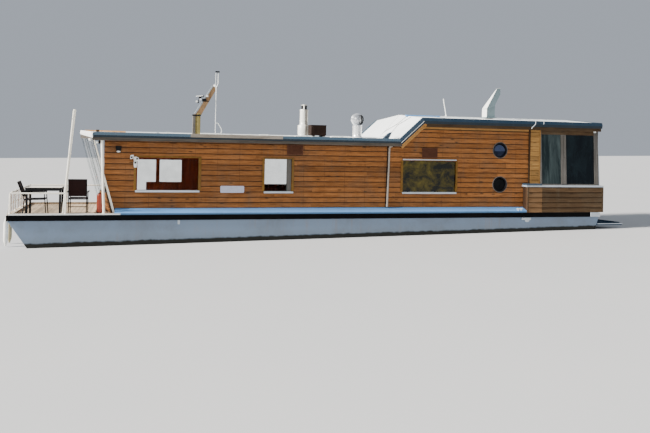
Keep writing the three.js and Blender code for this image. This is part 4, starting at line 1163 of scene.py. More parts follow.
board = slab(board, 0.004, 0.032, lambda x, y, d: (x, y, roof_top(x, y) + d), 0.8)
piece("ridge_board", "trim_board", [board, knot], bevel=0.004)
print("caps near the eave", len(caps))

# %% [markdown]
# The flue is a twin-wall stainless pipe: a foot that sheds the rain, a wider sleeve, locking bands where the
# lengths join, and a rain cap on legs. It is all turned, because a chimney is a lathe job in any workshop.

# %% Flue, roof box and the vent's stem
FLUE = fx, fy, fz = -0.7, -0.55, LOW_EAVE + LOW_RISE * (1 - (0.55 - 0.168) / ROOF_HALF) + HAIR
sleeve = [(0.002, 0.0), (0.172, 0.0), (0.174, 0.012), (0.168, 0.024), (0.166, 0.040), (0.176, 0.060),
          (0.177, 0.300), (0.172, 0.308), (0.128, 0.330), (0.121, 0.340), (0.120, 0.430), (0.125, 0.432),
          (0.125, 0.460), (0.120, 0.462), (0.119, 0.735), (0.125, 0.737), (0.125, 0.765), (0.118, 0.776),
          (0.002, 0.776)]
legs = [(fx + 0.072 * math.cos(a), fy + 0.072 * math.sin(a))
        for a in (math.pi / 2 * k + 0.4 for k in range(4))]
rain_cap = [(0.002, 0.900), (0.096, 0.893), (0.098, 0.899), (0.070, 0.913), (0.030, 0.924), (0.002, 0.925)]
piece("flue_pipe", "flue_steel", [
    turned(sleeve, FLUE, 40),
    *[block((x - 0.006, y - 0.006, fz + 0.85), (x + 0.006, y + 0.006, fz + 0.90)) for x, y in legs],
    turned(rain_cap, FLUE, 40),
    pipe([(fx - 0.030, fy - 0.112, fz + 0.70), (fx - 0.030, fy - 0.112, fz + 0.915)], 0.022, 12),
], smooth=35, stands_for=["flue"])
# the black neck fills the gap under the rain cap: painted shade
neck = [(0.002, 0.7765), (0.082, 0.7765), (0.082, 0.862), (0.094, 0.866), (0.094, 0.880), (0.002, 0.880)]
piece("flue_shade_neck", "black_paint", [turned(neck, FLUE)], smooth=35)

(x0, y0, z0), (x1, y1, z1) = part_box("roof_box")
parts = [block((x0, y0, z0 + 0.035), (x1, y1, z1 - 0.012)),
         block((x0 - 0.008, y0 - 0.008, z1 - 0.018), (x1 + 0.008, y1 + 0.008, z1))]
parts += [block((x, y0 + 0.002, z0), (x + 0.08, y1 - 0.002, z0 + 0.034)) for x in (x0 + 0.03, x1 - 0.11)]
parts += [block((x0 + 0.05, y0 - 0.006, z - 0.006), (x1 - 0.05, y0 + 0.002, z + 0.006))
          for z in (z1 - 0.05 - 0.026 * k for k in range(8))]
piece("roof_box_case", "box_brown", parts, bevel=0.004, stands_for=["roof_box"])

VENT = vx, vy, vz = 0.677, -1.4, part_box("vent_stem")[0].z
stem = [(0.002, 0.0), (0.170, 0.0), (0.170, 0.008), (0.152, 0.020), (0.134, 0.046), (0.132, 0.110),
        (0.136, 0.112), (0.136, 0.135), (0.132, 0.137), (0.132, 0.285), (0.138, 0.289), (0.138, 0.323),
        (0.128, 0.330), (0.030, 0.330), (0.030, 0.3352), (0.002, 0.3352)]
piece("vent_stem_pipe", "stainless", [turned(stem, VENT, 40)], smooth=35, stands_for=["vent_stem"])
print("flue", round(fz + 0.925, 2), "m to its cap")

# %% [markdown]
# The turbine vent's head is a ball of curved vanes between two rings. Each vane is a thin curved blade, bent
# along the ball and set at a slant so that one edge stands proud, which is what makes the wind turn it.

# %% Turbine head
VANES, VANE_LOW, VANE_HIGH = 22, 0.364, 0.662
BALL, BALL_RADIUS = 0.520, 0.188


def vane(turn):
    points = []
    for j in range(13):
        h = VANE_LOW + (VANE_HIGH - VANE_LOW) * j / 12
        bulge = math.sqrt(max(0.0, BALL_RADIUS ** 2 - (h - BALL) ** 2))
        edge = ((bulge, 0.0), (bulge - 0.020, 0.23), (bulge - 0.023, 0.24), (bulge - 0.003, 0.01))
        points += [(vx + r * math.cos(turn + a), vy + r * math.sin(turn + a), vz + h) for r, a in edge]
    return tube(points, 13, 4)


low_ring = [(0.002, 0.3355), (0.128, 0.3355), (0.136, 0.342), (0.136, 0.362), (0.128, 0.370), (0.002, 0.370)]
top_ring = [(0.002, 0.652), (0.098, 0.652), (0.106, 0.660), (0.090, 0.678), (0.05, 0.696), (0.002, 0.701)]
# a black drum inside the vanes is painted shade of the hollow head
shade_core = [(0.002, 0.3705), (0.100, 0.3705), (0.140, 0.52), (0.090, 0.6515), (0.002, 0.6515)]
piece("vent_shade_core", "black_paint", [turned(shade_core, VENT, 24)], "rotor", smooth=35)
vanes = [vane(2 * math.pi * k / VANES) for k in range(VANES)]
piece("vent_turbine", "turbine_steel", [turned(low_ring, VENT, 40), turned(top_ring, VENT, 40), *vanes],
      "rotor", smooth=35, stands_for=["vent_head"])
print("turbine vanes", VANES)

# %% [markdown]
# The bent duct is folded sheet: straight, then kinked twice to the right. It is drawn as an outline seen from
# the near side and then narrowed towards its mouth. Its case is painted a darker grey as shade, and a white
# strip over its left side is painted light.

# %% Bent duct
dx0, dx1, dy0, dy1, dz = 5.11, 5.39, -0.75, -0.45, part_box("bent_duct")[0].z


def duct_place(x, z, d):
    """The duct narrows towards its mouth: its far side comes forward and drops."""
    share = min(max((z - dz - 0.285) / 0.66, 0.0), 1.0) * (d - dy0) / (dy1 - dy0)
    return (x, d - 0.17 * share, z - 0.08 * share)


back_edge = [(dx0, dz + 0.02), (dx0, dz + 0.285), (5.450, dz + 0.920), (5.562, dz + 0.938)]
outline = [(dx1, dz + 0.02), (dx1 - 0.002, dz + 0.405), (5.566, dz + 0.750), *reversed(back_edge)]
flange = [(dx0 - 0.010, dz + 0.275), (dx1 + 0.010, dz + 0.398), (dx1 + 0.010, dz + 0.410),
          (dx0 - 0.010, dz + 0.287)]
# the case is a darker grey-blue: painted shade
piece("bent_duct_case", "duct_shaded_sheet", [
    slab(outline, dy0, dy1, duct_place),
    block((dx0 - 0.04, dy0 - 0.04, dz), (dx1 + 0.04, dy1 + 0.04, dz + 0.02)),
    slab(flange, dy0 - 0.010, dy1 + 0.010, across),
], bevel=0.004, stands_for=["bent_duct"])
# a white strip over the duct's left side: painted light
lit_strip = [*back_edge, *reversed([(x - 0.008, z + 0.006) for x, z in back_edge])]
piece("bent_duct_lit_strip", "white_metal", [slab(lit_strip, dy0 - 0.004, dy1 + 0.004, duct_place)])

# %% [markdown]
# The mast is a short post of three boards with a leaning arm on top, in two lengths scarfed together. Its
# parts are placed from its own foot, since every one of them was measured from there.

# %% Mast
mx, my, mz = -3.88, -1.35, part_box("mast")[0].z


def by_mast(x, y, z):
    return (mx + x, my + y, mz + z)


def mast_block(a, b):
    return block(by_mast(*a), by_mast(*b))


def mast_slab(outline, low, high, tone=1.0):
    return slab([tuple(p) for p in outline], low, high, lambda x, z, d: by_mast(x, d, z), tone)


arm_left = Vector((-0.105, 0.466)), Vector((0.440, 1.366))
arm_right = Vector((0.104, 0.486)), Vector((0.555, 1.306))


def arm_part(a, b):
    spots = ((arm_left, a), (arm_right, a), (arm_right, b), (arm_left, b))
    return [foot.lerp(head, share) for (foot, head), share in spots]


pale_post = mast_slab([(0.012, 0), (0.104, 0), (0.104, 0.566), (0.012, 0.556)], -0.07, 0.07, 0.95)
inner_post = mast_slab(rect(-0.029, 0.011, 0, 0.54), -0.045, 0.045, 0.35)
grey_post = mast_slab([(-0.105, 0), (-0.030, 0), (-0.030, 0.545), (-0.105, 0.530)], -0.07, 0.07, 1.25)
piece("mast_posts", "mast_timber", [pale_post, inner_post], bevel=0.006, stands_for=["mast"])
piece("mast_grey_post", "grey_timber", [grey_post], bevel=0.006)
arm = [mast_slab(arm_part(a, b), -0.053, 0.053, tone)
       for a, b, tone in ((0.0, 0.485, 0.86), (0.50, 0.985, 0.72))]
piece("mast_arm", "arm_timber", arm, bevel=0.006)
irons = [by_mast(0.02, -0.075, 0.86), by_mast(0.075, -0.085, 0.99), by_mast(0.18, -0.075, 1.05)]
piece("mast_irons", "black_paint", [
    mast_block((-0.112, -0.077, 0.490), (0.111, 0.077, 0.528)),
    mast_block((0.135, -0.098, 0.885), (0.245, -0.058, 0.965)),
    mast_slab(arm_part(0.483, 0.502), -0.056, 0.056),
    *[mast_block((x - r, -0.09, z - r), (x + r * 1.5, -0.05, z + r))
      for x, z, r in ((0.075, 0.985, 0.030), (0.14, 1.03, 0.026), (0.02, 0.86, 0.022))],
    pipe(irons, 0.012, 8),
], bevel=0.003)

# a pale metal strip nailed along the upper face, a white ball on the tip and pale fittings halfway up
low, high = arm_left[0].lerp(arm_left[1], 0.10), arm_left[0].lerp(arm_left[1], 0.96)
normal = Vector((-(high - low).y, (high - low).x)).normalized()
piece("mast_strip", "strip_metal", [
    mast_slab([low, low + normal * 0.012, high + normal * 0.012, high], -0.056, 0.03),
    mast_slab([low + normal * 0.004, low - normal * 0.030, high - normal * 0.024, high + normal * 0.004],
              -0.0565, -0.0535)], bevel=0.002)
ball = [(0.002, -0.04), (0.020, -0.036), (0.034, -0.022), (0.040, 0.0), (0.034, 0.022), (0.020, 0.034),
        (0.002, 0.038)]
piece("mast_fittings", "white_metal", [
    turned(ball, by_mast(0.470, -0.03, 1.324), 20),
    pipe([by_mast(-0.03, -0.085, 1.02), by_mast(0.16, -0.085, 1.04)], 0.012, 8),
    *[mast_block((x - 0.02, -0.10, z - 0.02), (x + 0.03, -0.06, z + 0.025))
      for x, z in ((0.265, 1.035), (0.085, 0.94), (-0.01, 0.88))],
], smooth=40)
# a bent white tube, a swan neck, takes the wires of the antenna down through the roof
NECK_Y = -1.42
neck = [(-3.30, NECK_Y, 3.50), (-3.26, NECK_Y, 3.44), (-3.215, NECK_Y, 3.36), (-3.20, NECK_Y, 3.29),
        (-3.215, NECK_Y, 3.23), (-3.26, NECK_Y, 3.205)]
piece("swan_neck", "white_metal", [pipe(neck, 0.011, 8), pipe([(-3.372, NECK_Y, 3.52), neck[0]], 0.011, 8)],
      smooth=50)
print("mast", round(mz + arm_left[1].y, 2), "m to its tip")

# %% Antenna, whip and downpipe
pole_x, pole_y, pole_foot = -3.372, my - 0.072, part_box("antenna")[0].z
FORK, PRONG_TOP = 4.48, 4.885
foot_plate = [(0.002, 0.0), (0.030, 0.0), (0.030, 0.010), (0.014, 0.016), (0.010, 0.03), (0.002, 0.03)]
prongs = [pipe([(pole_x, pole_y, FORK - 0.01), (pole_x + out, pole_y, FORK + 0.09),
                (pole_x + out, pole_y, PRONG_TOP)], radius, 10)
          for out, radius in ((-0.016, 0.006), (0.048, 0.010))]
piece("antenna_rods", "white_metal", [
    turned(foot_plate, (pole_x, pole_y, pole_foot), 20),
    pipe([(pole_x, pole_y, pole_foot + 0.005), (pole_x, pole_y, FORK)], 0.009, 12),
    block((pole_x - 0.012, pole_y - 0.004, 4.43), (pole_x + 0.012, my - 0.0553, 4.49)), *prongs,
], smooth=35, stands_for=["antenna"])
bar = block((pole_x - 0.030, pole_y - 0.014, PRONG_TOP - 0.005),
            (pole_x + 0.085, pole_y + 0.014, PRONG_TOP + 0.036))
piece("antenna_bar", "black_paint", [bar], bevel=0.004)

WHIP_X, whip_foot = 4.07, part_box("whip")[0].z
socket = [(0.002, 0.0), (0.040, 0.0), (0.040, 0.016), (0.022, 0.028), (0.014, 0.045), (0.010, 0.06),
          (0.002, 0.06)]
rod = [(x, 0, whip_foot + h) for x, h in ((WHIP_X, 0.03), (4.045, 0.18), (4.0, 0.40), (3.97, 0.56))]
piece("whip_aerial", "white_metal", [turned(socket, (WHIP_X, 0, whip_foot), 20), pipe(rod, 0.014, 10)],
      smooth=35, stands_for=["whip"])

PIPE_FOOT, PIPE_Y = 1.578, -1.55
parts = [pipe([(PIPE_FOOT, PIPE_Y, 1.23), (1.618, PIPE_Y, 2.93), (1.638, -1.67, LOW_UNDER - 0.05),
               (1.638, -1.67, LOW_UNDER - 0.001)], 0.027, 20)]
for h in (1.45, 2.1, 2.75):
    x = PIPE_FOOT + 0.04 * (h - 1.23) / 1.7
    parts += [pipe([(x, PIPE_Y, h), (x + 0.001, PIPE_Y, h + 0.035)], 0.031, 20),
              block((x - 0.012, -1.53, h + 0.008), (x + 0.012, -1.50, h + 0.028))]
parts.append(pipe([(PIPE_FOOT - 0.001, PIPE_Y, 1.225), (PIPE_FOOT, PIPE_Y, 1.29)], 0.032, 20))
piece("downpipe_run", "pipe_paint", parts, smooth=35, stands_for=["downpipe"])
piece("downpipe_conduit", "black_paint", [pipe([(1.534, -1.538, 1.212), (1.572, -1.538, 2.99)], 0.012, 8)],
      smooth=40)
print("aerials and downpipe done")

# %% [markdown]
# The terrace has a welded pipe rail. Pipes are drawn along their centre lines and meet in mitres, and every
# foot gets a round flange with a weld swell, so that it looks fixed down and not just stood there.

# %% Terrace rail, posts and pole
RAIL_Y, RAIL_X, RAIL_TOP = 1.72, -8.46, 1.625
FOOT, WELL = DECK + HAIR, 1.035 + HAIR
NEAR_END, FAR_END = -7.147, -6.4
flange = [(0.002, 0.0), (0.034, 0.0), (0.034, 0.008), (0.028, 0.012), (0.0215, 0.024), (0.002, 0.024)]
z = RAIL_TOP - 0.02
top_rail = [(NEAR_END, -RAIL_Y, z), (RAIL_X, -RAIL_Y, z), (RAIL_X, RAIL_Y, z), (FAR_END, RAIL_Y, z)]
parts = [pipe(top_rail, 0.018, 16),
         pipe([(RAIL_X, -RAIL_Y, RAIL_TOP - 0.28), (RAIL_X, RAIL_Y, RAIL_TOP - 0.28)], 0.012, 12)]
feet = [(NEAR_END, -RAIL_Y), *[(RAIL_X, y) for y in (-RAIL_Y, -0.86, 0.0, 0.86, RAIL_Y)],
        (-7.43, RAIL_Y), (FAR_END, RAIL_Y)]
for x, y in feet:
    parts += [pipe([(x, y, FOOT), (x, y, RAIL_TOP - 0.01)], 0.020, 16), turned(flange, (x, y, FOOT), 18)]
piece("terrace_rail_pipes", "cream_paint", parts, smooth=35, stands_for=["terrace_rail"])
# the end rail is filled with upright slats, bleached pink and white
slats = [block((RAIL_X + 0.014, y - 0.032, DECK + 0.06), (RAIL_X + 0.026, y + 0.032, RAIL_TOP - 0.035),
               1.0 - 0.02 * k) for k, y in enumerate(-1.62 + 0.19 * k for k in range(18))]
for name, shade, first in (("rail_slats_pink", "rail_slat", 0), ("rail_slats_white", "white_metal", 1)):
    clear = [slats[k] for k in range(first, 18, 2)
             if min(abs(-1.62 + 0.19 * k - y) for y in (-0.86, 0.0, 0.86)) > 0.05]
    piece(name, shade, clear, bevel=0.002)

POST_FOOT, POST_TOP = -6.215, -6.215 - 0.0435 * (LOW_UNDER - DECK)
flange = [(0.002, 0), (0.050, 0), (0.050, 0.008), (0.038, 0.012), (0.029, 0.026), (0.002, 0.026)]
for face, side in SIDES:
    y = face * 1.70
    parts = [pipe([(POST_FOOT, y, FOOT), (POST_TOP, y, LOW_UNDER - GAP)], 0.032, 24),
             turned(flange, (POST_FOOT, y, FOOT), 24)]
    piece("roof_post_" + side, "cream_paint", parts, smooth=35, stands_for=["post_" + side])

POLE_FOOT, POLE_Y, POLE_TOP = -7.218, -1.645, 3.740
parts = [pipe([(POLE_FOOT, POLE_Y, WELL + 0.0024), (-6.997, POLE_Y, POLE_TOP)], 0.023, 18),
         pipe([(-7.213, POLE_Y, WELL + 0.0024), (-6.966, POLE_Y, 3.735)], 0.021, 18)]
for h in (1.5, 2.6, 3.5):
    x = POLE_FOOT + 0.221 * (h - WELL) / (POLE_TOP - WELL)
    parts.append(block((x - 0.026, POLE_Y - 0.026, h), (x + 0.050, POLE_Y + 0.026, h + 0.022)))
knob = [(0.002, 0), (0.028, 0), (0.036, 0.012), (0.036, 0.026), (0.024, 0.038), (0.002, 0.040)]
piece("leaning_pole_pair", "cream_paint", [*parts, turned(knob, (-6.984, POLE_Y, 3.714), 18)], smooth=35,
      stands_for=["leaning_pole"])

# the terrace floor lies lower than the side decks, and a pale rim and pale edging run round it
RIM_LOW, RIM_TOP, EDGING_TOP = 1.056, 1.0905, 1.098
lines = ((-1.775, -1.7705), (1.7705, 1.775))
pale = [block((-8.485, y0, RIM_LOW), (-5.80, y1, RIM_TOP)) for y0, y1 in lines]
pale.append(block((-8.4975, -1.775, RIM_LOW), (-8.4905, 1.775, RIM_TOP)))
pale += [block((-8.4145, y0, RIM_TOP), (x, y1, EDGING_TOP))
         for x, y0, y1 in ((-6.445, -1.70, -1.680), (-6.445, 1.680, 1.70), (-8.398, -1.68, 1.68))]
piece("deck_edging", "white_metal", pale, bevel=0.0015)
# the edging along the side decks uses the darker copy of the coaming paint, painted shade
piece("deck_edging_blue", "coaming_shade",
      [block((-5.798, y0, RIM_LOW), (BAY_LEFT - 0.01, y1, RIM_TOP)) for y0, y1 in lines], bevel=0.0015)
print("rail feet", len(feet))

# %% [markdown]
# Two long fenders hang outside the rail. They are blow-moulded vinyl: a plain barrel with ribbed shoulders
# and a moulded eye at each end, and a line runs from the eye to the rail and is hitched round it.

# %% Fenders and extinguisher
FENDER_X = -8.606
barrel = [(0.002, 0.0), (0.020, 0.0), (0.024, 0.010), (0.024, 0.040), (0.034, 0.058), (0.042, 0.078),
          (0.040, 0.084), (0.050, 0.104), (0.048, 0.110), (0.056, 0.132), (0.057, 0.17), (0.057, 0.575),
          (0.054, 0.595), (0.046, 0.616), (0.048, 0.622), (0.038, 0.642), (0.040, 0.648), (0.032, 0.664),
          (0.024, 0.682), (0.024, 0.708), (0.020, 0.72), (0.002, 0.72)]
line_x = RAIL_X - 0.02 * math.cos(math.pi / 10) - 0.0083
# the second fender is the same vinyl in a darker beige: painted shade
for name, y, vinyl in (("fender_1", -1.32, "fender_vinyl"), ("fender_2", -0.75, "shaded_vinyl")):
    piece(name + "_body", vinyl, [turned(barrel, (FENDER_X, y, 0.24))], smooth=50, stands_for=[name])
    loops = [[(RAIL_X + 0.027 * math.cos(a), y - 0.012 + 0.012 * k, RAIL_TOP - 0.02 + 0.027 * math.sin(a))
              for a in (2 * math.pi * j / 14 for j in range(15))] for k in range(3)]
    fall = [(FENDER_X, y, 0.945), (line_x, y, RAIL_TOP - 0.05), (line_x, y, RAIL_TOP - 0.002)]
    hitch = [pipe(loop, 0.007, 8) for loop in loops]
    piece(name + "_line", "rope_fibre", [pipe(fall, 0.008, 10), *hitch], smooth=50)

EXT = ex, ey, ez = -6.322, -1.56, FOOT
bottle = [(0.002, 0.0), (0.074, 0.0), (0.080, 0.010), (0.080, 0.020), (0.082, 0.026), (0.082, 0.440),
          (0.080, 0.462), (0.070, 0.482), (0.050, 0.496), (0.028, 0.502), (0.024, 0.506), (0.002, 0.506)]
valve = [(0.002, 0.498), (0.026, 0.498), (0.026, 0.516), (0.018, 0.520), (0.002, 0.520)]
foot_band = [(0.0815, 0.005), (0.0830, 0.005), (0.0830, 0.018), (0.0815, 0.018)]
grips = [([(-0.03, 0.512), (0.075, 0.527), (0.078, 0.535), (-0.03, 0.522)], 0.011),
         ([(-0.02, 0.532), (0.070, 0.546), (0.070, 0.552), (-0.025, 0.542)], 0.009)]
bend = (ex - 0.03, ey + 0.055, ez + 0.512)
piece("extinguisher_bottle", "red_paint", [turned(bottle, EXT, 36)], smooth=40, stands_for=["extinguisher"])
piece("extinguisher_valve", "black_paint", [
    turned(valve, EXT, 20),
    *[slab(grip, -wide, wide, lambda a, b, d: (ex + d, ey - a, ez + b)) for grip, wide in grips],
    turned(foot_band, EXT, 36), pipe([(ex, ey + 0.02, ez + 0.515), bend], 0.008, 10),
    pipe([bend, (ex - 0.045, ey + 0.075, ez + 0.500)], 0.012, 12)], smooth=40)
print("fenders and extinguisher done")

# %% [markdown]
# The garden table has a pale slatted top on a dark frame. The chairs are dark pipe with a woven sling: one
# sheet for the seat and one for the back, stretched between the side pipes and sagging a little in between.

# %% Table
TABLE_L, TABLE_R, TABLE_N, TABLE_F = -8.118, -7.264, -1.64, -0.97
APRON, SLATS = 1.683, 8
step = (TABLE_F - TABLE_N) / SLATS
parts = [block((TABLE_L, y + 0.0025, 1.726), (TABLE_R, y + step - 0.0025, 1.745))
         for y in (TABLE_N + step * k for k in range(SLATS))]
piece("table_slats", "table_top", parts, bevel=0.004)
parts = [block((TABLE_L - 0.006, y0, 1.662), (TABLE_R + 0.006, y1, 1.744))
         for y0, y1 in ((TABLE_N - 0.006, TABLE_N - 0.0005), (TABLE_F + 0.0005, TABLE_F + 0.006))]
parts += [block((x0, TABLE_N, APRON), (x1, TABLE_F, 1.744))
          for x0, x1 in ((TABLE_L - 0.006, TABLE_L - 0.0005), (TABLE_R + 0.0005, TABLE_R + 0.006))]
parts += [block((TABLE_L + 0.006, y, APRON), (TABLE_R - 0.006, y + 0.025, 1.7255))
          for y in (TABLE_N + 0.006, TABLE_F - 0.031)]
parts += [block((x, TABLE_N + 0.032, APRON), (x + 0.025, TABLE_F - 0.032, 1.7255))
          for x in (TABLE_L + 0.006, TABLE_R - 0.031)]
parts += [block((x, y, WELL), (x + 0.052, y + 0.052, 1.6825))
          for x in (-8.112, -7.318) for y in (-1.638, -1.020)]
piece("table_frame", "black_paint", parts, bevel=0.004, stands_for=["table"])
print("table slats", SLATS)

# %% Chairs
SEAT = 0.395
HALF_WIDTH = 0.222
WEAVE_STEPS = 12


def sling(name, corners, sag):
    """A stretched sheet between four corners, dished in the middle."""
    a, b, c, d = (Vector(p) for p in corners)
    normal = (b - a).cross(d - a).normalized()
    n = WEAVE_STEPS
    points = [a.lerp(b, u).lerp(d.lerp(c, u), v)
              - normal * sag * math.sin(math.pi * u) * (0.35 + 0.65 * math.sin(math.pi * v))
              for u, v in ((i / n, j / n) for j in range(n + 1) for i in range(n + 1))]
    faces = [(j * (n + 1) + i, j * (n + 1) + i + 1, (j + 1) * (n + 1) + i + 1, (j + 1) * (n + 1) + i)
             for j in range(n) for i in range(n)]
    made = piece(name, "sling_weave", [(points, faces, 1.0)], smooth=60)
    setting(made.modifiers.new("cloth thickness", "SOLIDIFY"), thickness=0.004, offset=0)
    return made


def chair(name, spot, turn, run, top):
    """A chair at spot, turned; its back leans by run up to a height of top."""
    where = Matrix.Translation(Vector((*spot, WELL))) @ Matrix.Rotation(turn, 4, "Z")
    w = HALF_WIDTH

    def at(x, y, z):
        return tuple(where @ Vector((x, y, z)))

    def back(z):
        return -run * (z - SEAT) / (top - SEAT)

    arm_rest = [(back(0.58) - 0.004, -0.022), (0.470, -0.020), (0.484, 0.0), (0.470, 0.020),
                (back(0.58) - 0.004, 0.022)]
    parts = []
    for side in (-1, 1):
        y, arm = side * w, side * (w + 0.028)
        parts += [pipe([at(-0.04, y, 0.008), at(0.0, y, SEAT), at(back(top), y, top)], 0.013, 12),
                  pipe([at(0.515, y, 0.008), at(0.468, y, 0.578)], 0.013, 12),
                  pipe([at(0.0, y, SEAT), at(0.478, y, 0.405)], 0.013, 12),
                  pipe([at(back(0.57), y, 0.568), at(0.470, y, 0.572)], 0.010, 12)]
        parts += [pipe([at(x, y, 0.0), at(x, y, 0.028)], 0.017, 12) for x in (-0.04, 0.515)]
        parts.append(slab(arm_rest, 0.577, 0.591, lambda a, b, h: at(a, arm + b, h)))
    parts += [pipe([at(x, -w, z), at(x, w, z)], 0.011, 12)
              for x, z in ((0.0, SEAT), (0.478, 0.405), (back(top - 0.01), top - 0.01), (-0.02, 0.20))]
    piece(name + "_frame", "black_paint", parts, smooth=35, stands_for=[name])
    corners = [(0.004, -w, 0.409), (0.474, -w, 0.419), (0.474, w, 0.419), (0.004, w, 0.409)]
    seat = sling(name + "_seat", [at(*p) for p in corners], 0.012)
    cloth_foot, cloth_head = 0.47, top + 0.008
    wide = w + 0.012
    corners = [(cloth_foot, wide), (cloth_foot, -wide), (cloth_head, -wide), (cloth_head, wide)]
    cloth = sling(name + "_back", [at(back(z) + 0.016, y, z) for z, y in corners], 0.006)


chair("chair_1", (-8.15, -1.305), 0.0, 0.175, 0.85)
chair("chair_2", (-6.885, -1.370), math.pi / 2, 0.120, 0.915)
print("chairs", 2)

# %% [markdown]
# Small fittings sit on the near wall: two louvred vents, a blank plate, two lamps, a cleat and the fittings
# on the hull. Each is screwed to what it sits on, so each one starts at the face of the boards.

# %% Fittings on the wall
LOUVRES, BORDER = 8, 0.022
for name, x0, x1, z0, z1 in (("wall_vent_left", -1.387, -0.938, 2.677, 2.95),
                             ("wall_vent_right", 2.643, 3.121, 2.644, 2.938)):
    in_x0, in_x1, in_z0, in_z1 = x0 + BORDER, x1 - BORDER, z0 + BORDER, z1 - BORDER
    border = [(x0, x1, z0, in_z0), (x0, x1, in_z1, z1), (x0, in_x0, in_z0, in_z1), (in_x1, x1, in_z0, in_z1)]
    parts = [slab(rect(x0, x1, z0, z1), 0.012, 0.040, NEAR_WALL)]
    parts += [slab(rect(*bar), 0.040, 0.052, NEAR_WALL) for bar in border]
    pitch = (in_z1 - in_z0) / LOUVRES
    for z in (in_z0 + pitch * k for k in range(LOUVRES)):
        blade = [(0.041, z + 0.004), (0.053, z), (0.055, z + 0.003), (0.043, z + pitch * 0.8)]
        parts.append(slab(blade, in_x0, in_x1, lambda d, h, x: (x, -WALL - d, h)))
    piece(name, "brown_metal", parts, bevel=0.002)

plate = [(-3.195, 1.617), (-2.587, 1.617), (-2.567, 1.637), (-2.567, 1.784), (-2.587, 1.804), (-3.195, 1.804),
         (-3.215, 1.784), (-3.215, 1.637)]
piece("blank_plate", "plate_paint", [slab(plate, 0.031, 0.037, NEAR_WALL)], bevel=0.002)

hood = [(-5.948, 2.705), (-5.819, 2.705), (-5.812, 2.812), (-5.822, 2.826), (-5.945, 2.826), (-5.955, 2.812)]
hood_top = slab(rect(-5.96, -5.807, 2.820, 2.836), 0.02, 0.122, NEAR_WALL)
piece("wall_lamp_hood", "black_paint", [slab(hood, 0.02, 0.11, NEAR_WALL), hood_top], bevel=0.006)
bulb = [(0.002, -0.030), (0.030, -0.027), (0.046, -0.014), (0.050, 0.012), (0.002, 0.012)]
piece("wall_lamp_glass", "white_metal", [turned(bulb, (-5.884, -WALL - 0.068, 2.698), 24)], smooth=40)

# a pale double spotlight on an arm at the corner of the first window
parts = [slab(rect(-5.500, -5.430, 2.46, 2.56), 0.040, 0.058, NEAR_WALL),
         pipe([(-5.465, -WALL - 0.058, 2.51), (-5.465, -WALL - 0.10, 2.51), (-5.455, -WALL - 0.115, 2.36)],
              0.014, 10)]
for x, z, tip in ((-5.545, 2.555, 0.02), (-5.415, 2.525, -0.03)):
    lamp_head = [(x - 0.042, z - 0.055), (x + 0.036, z - 0.060 + tip), (x + 0.044, z + 0.040 + tip),
                 (x - 0.036, z + 0.045)]
    parts.append(slab(lamp_head, 0.085, 0.165, NEAR_WALL))
sensor = [(-5.485, 2.28), (-5.425, 2.28), (-5.410, 2.36), (-5.420, 2.47), (-5.490, 2.47), (-5.500, 2.38)]
piece("spotlight", "white_metal", [*parts, slab(sensor, 0.075, 0.125, NEAR_WALL)], bevel=0.006)
eyes = [slab(rect(x - 0.022, x + 0.022, z - 0.022, z + 0.022), 0.12, 0.171, NEAR_WALL)
        for x, z in ((-5.548, 2.548), (-5.412, 2.512), (-5.455, 2.41))]
piece("spotlight_eyes", "black_paint", eyes, bevel=0.003)

# lamps below the eaves at both ends
parts = [block((-6.385, -1.64, 2.885), (-6.285, -1.54, 2.975)),
         block((-6.35, -1.61, 2.97), (-6.33, -1.57, LOW_UNDER - 0.001))]
piece("eave_lamp_dark", "black_paint", parts, bevel=0.008)
bowl = [(0.002, -0.045), (0.024, -0.040), (0.038, -0.020), (0.040, 0.0), (0.040, 0.02), (0.002, 0.02)]
small_bowl = [(0.002, -0.035), (0.022, -0.030), (0.034, -0.012), (0.036, 0.012), (0.002, 0.012)]
globe = [(0.002, -0.048), (0.026, -0.042), (0.044, -0.018), (0.047, 0.010), (0.040, 0.034), (0.012, 0.046),
         (0.002, 0.046)]
piece("eave_lamps_pale", "white_metal", [
    turned(bowl, (-6.60, -1.48, LOW_UNDER - 0.021), 20), turned(small_bowl, (-6.418, -1.59, 2.925), 20),
    turned(globe, (8.345, -1.66, 3.556), 24),
    pipe([(8.345, -1.66, 3.59), (8.345, -1.66, HIGH_UNDER - 0.0005)], 0.010, 10),
], smooth=40)
print("fittings on the wall done")

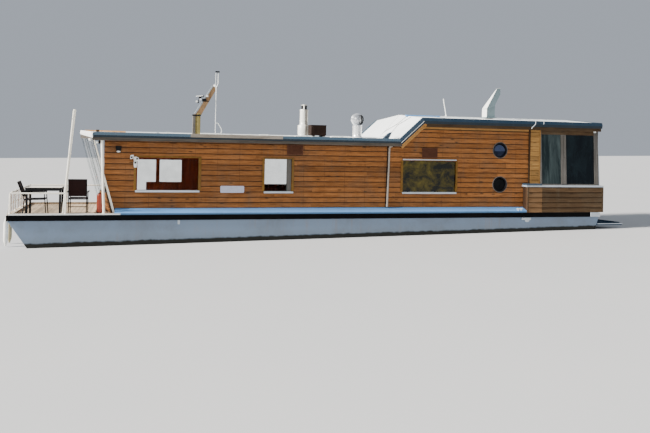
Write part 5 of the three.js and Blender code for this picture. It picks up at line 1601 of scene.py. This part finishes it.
# %% Fittings on the deck and the hull
# a cleat on the side deck beside the bay
CLEAT_Y = -1.73
horn = [(0.002, 0.0), (0.020, 0.0), (0.014, 0.03), (0.014, 0.055), (0.002, 0.06)]
bar = [(x, CLEAT_Y, FOOT + h) for x, h in ((5.655, 0.078), (5.69, 0.072), (5.80, 0.072), (5.835, 0.078))]
piece("mooring_cleat", "white_metal", [
    block((5.66, -1.76, FOOT), (5.83, -1.70, FOOT + 0.012)),
    *[turned(horn, (x, CLEAT_Y, FOOT + 0.012), 16) for x in (5.70, 5.79)],
    pipe(bar, 0.016, 12),
], smooth=40)

step_low, step_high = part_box("boarding_step")
# a pale strip along the near top edge of the step is a painted highlight
piece("boarding_step_highlight", "sill_metal", [
    block((step_low.x + 0.02, step_low.y - 0.004, step_high.z - 0.030),
          (step_high.x, step_low.y - 0.0005, step_high.z - 0.004))], bevel=0.001)
# a low web stiffens the far edge of the step and tapers to its tip
web = [Vector((x, y, step_high.z + h)) for x, y, h in (
    (8.496, -0.520, 0.0005), (9.310, -1.650, 0.0005), (9.310, -1.650, 0.0205), (8.496, -0.520, 0.0855))]
web += [p - Vector((0.0098, 0.0070, 0)) for p in web]
piece("boarding_step_web", "step_paint", [prism(web)], bevel=0.001)

hull_side = on_side(-1, 1.75)
shapes = [(rect(5.80, 6.10, 0.835, 0.905), 0.001, 0.040),
          ([(5.93, 0.775), (6.02, 0.775), (6.06, 0.835), (5.90, 0.835)], 0.001, 0.040),
          (rect(-4.345, -4.285, 0.80, 0.912), 0.001, 0.034), (rect(8.15, 8.488, 0.918, 1.050), 0.0455, 0.060)]
piece("hull_fittings", "sill_metal", [slab(*shape, hull_side) for shape in shapes], bevel=0.006)
print("fittings on the hull", len(shapes))

# %% Finishes on the solids that stay
dress("hull_paint", "hull")
dress("deck_board", "deck")
dress("rub_rubber", "rub_band")
dress("coaming_metal", "coaming_near", "coaming_far")
dress("step_paint", "boarding_step")
dress("sill_metal", "bay_cap")
for name in ("hull", "rub_band", "coaming_near", "coaming_far", "boarding_step", "bay_cap"):
    setting(node[name].modifiers.new("joined corners", "WELD"), merge_threshold=0.0002)
    ease(node[name], 0.006, 25)
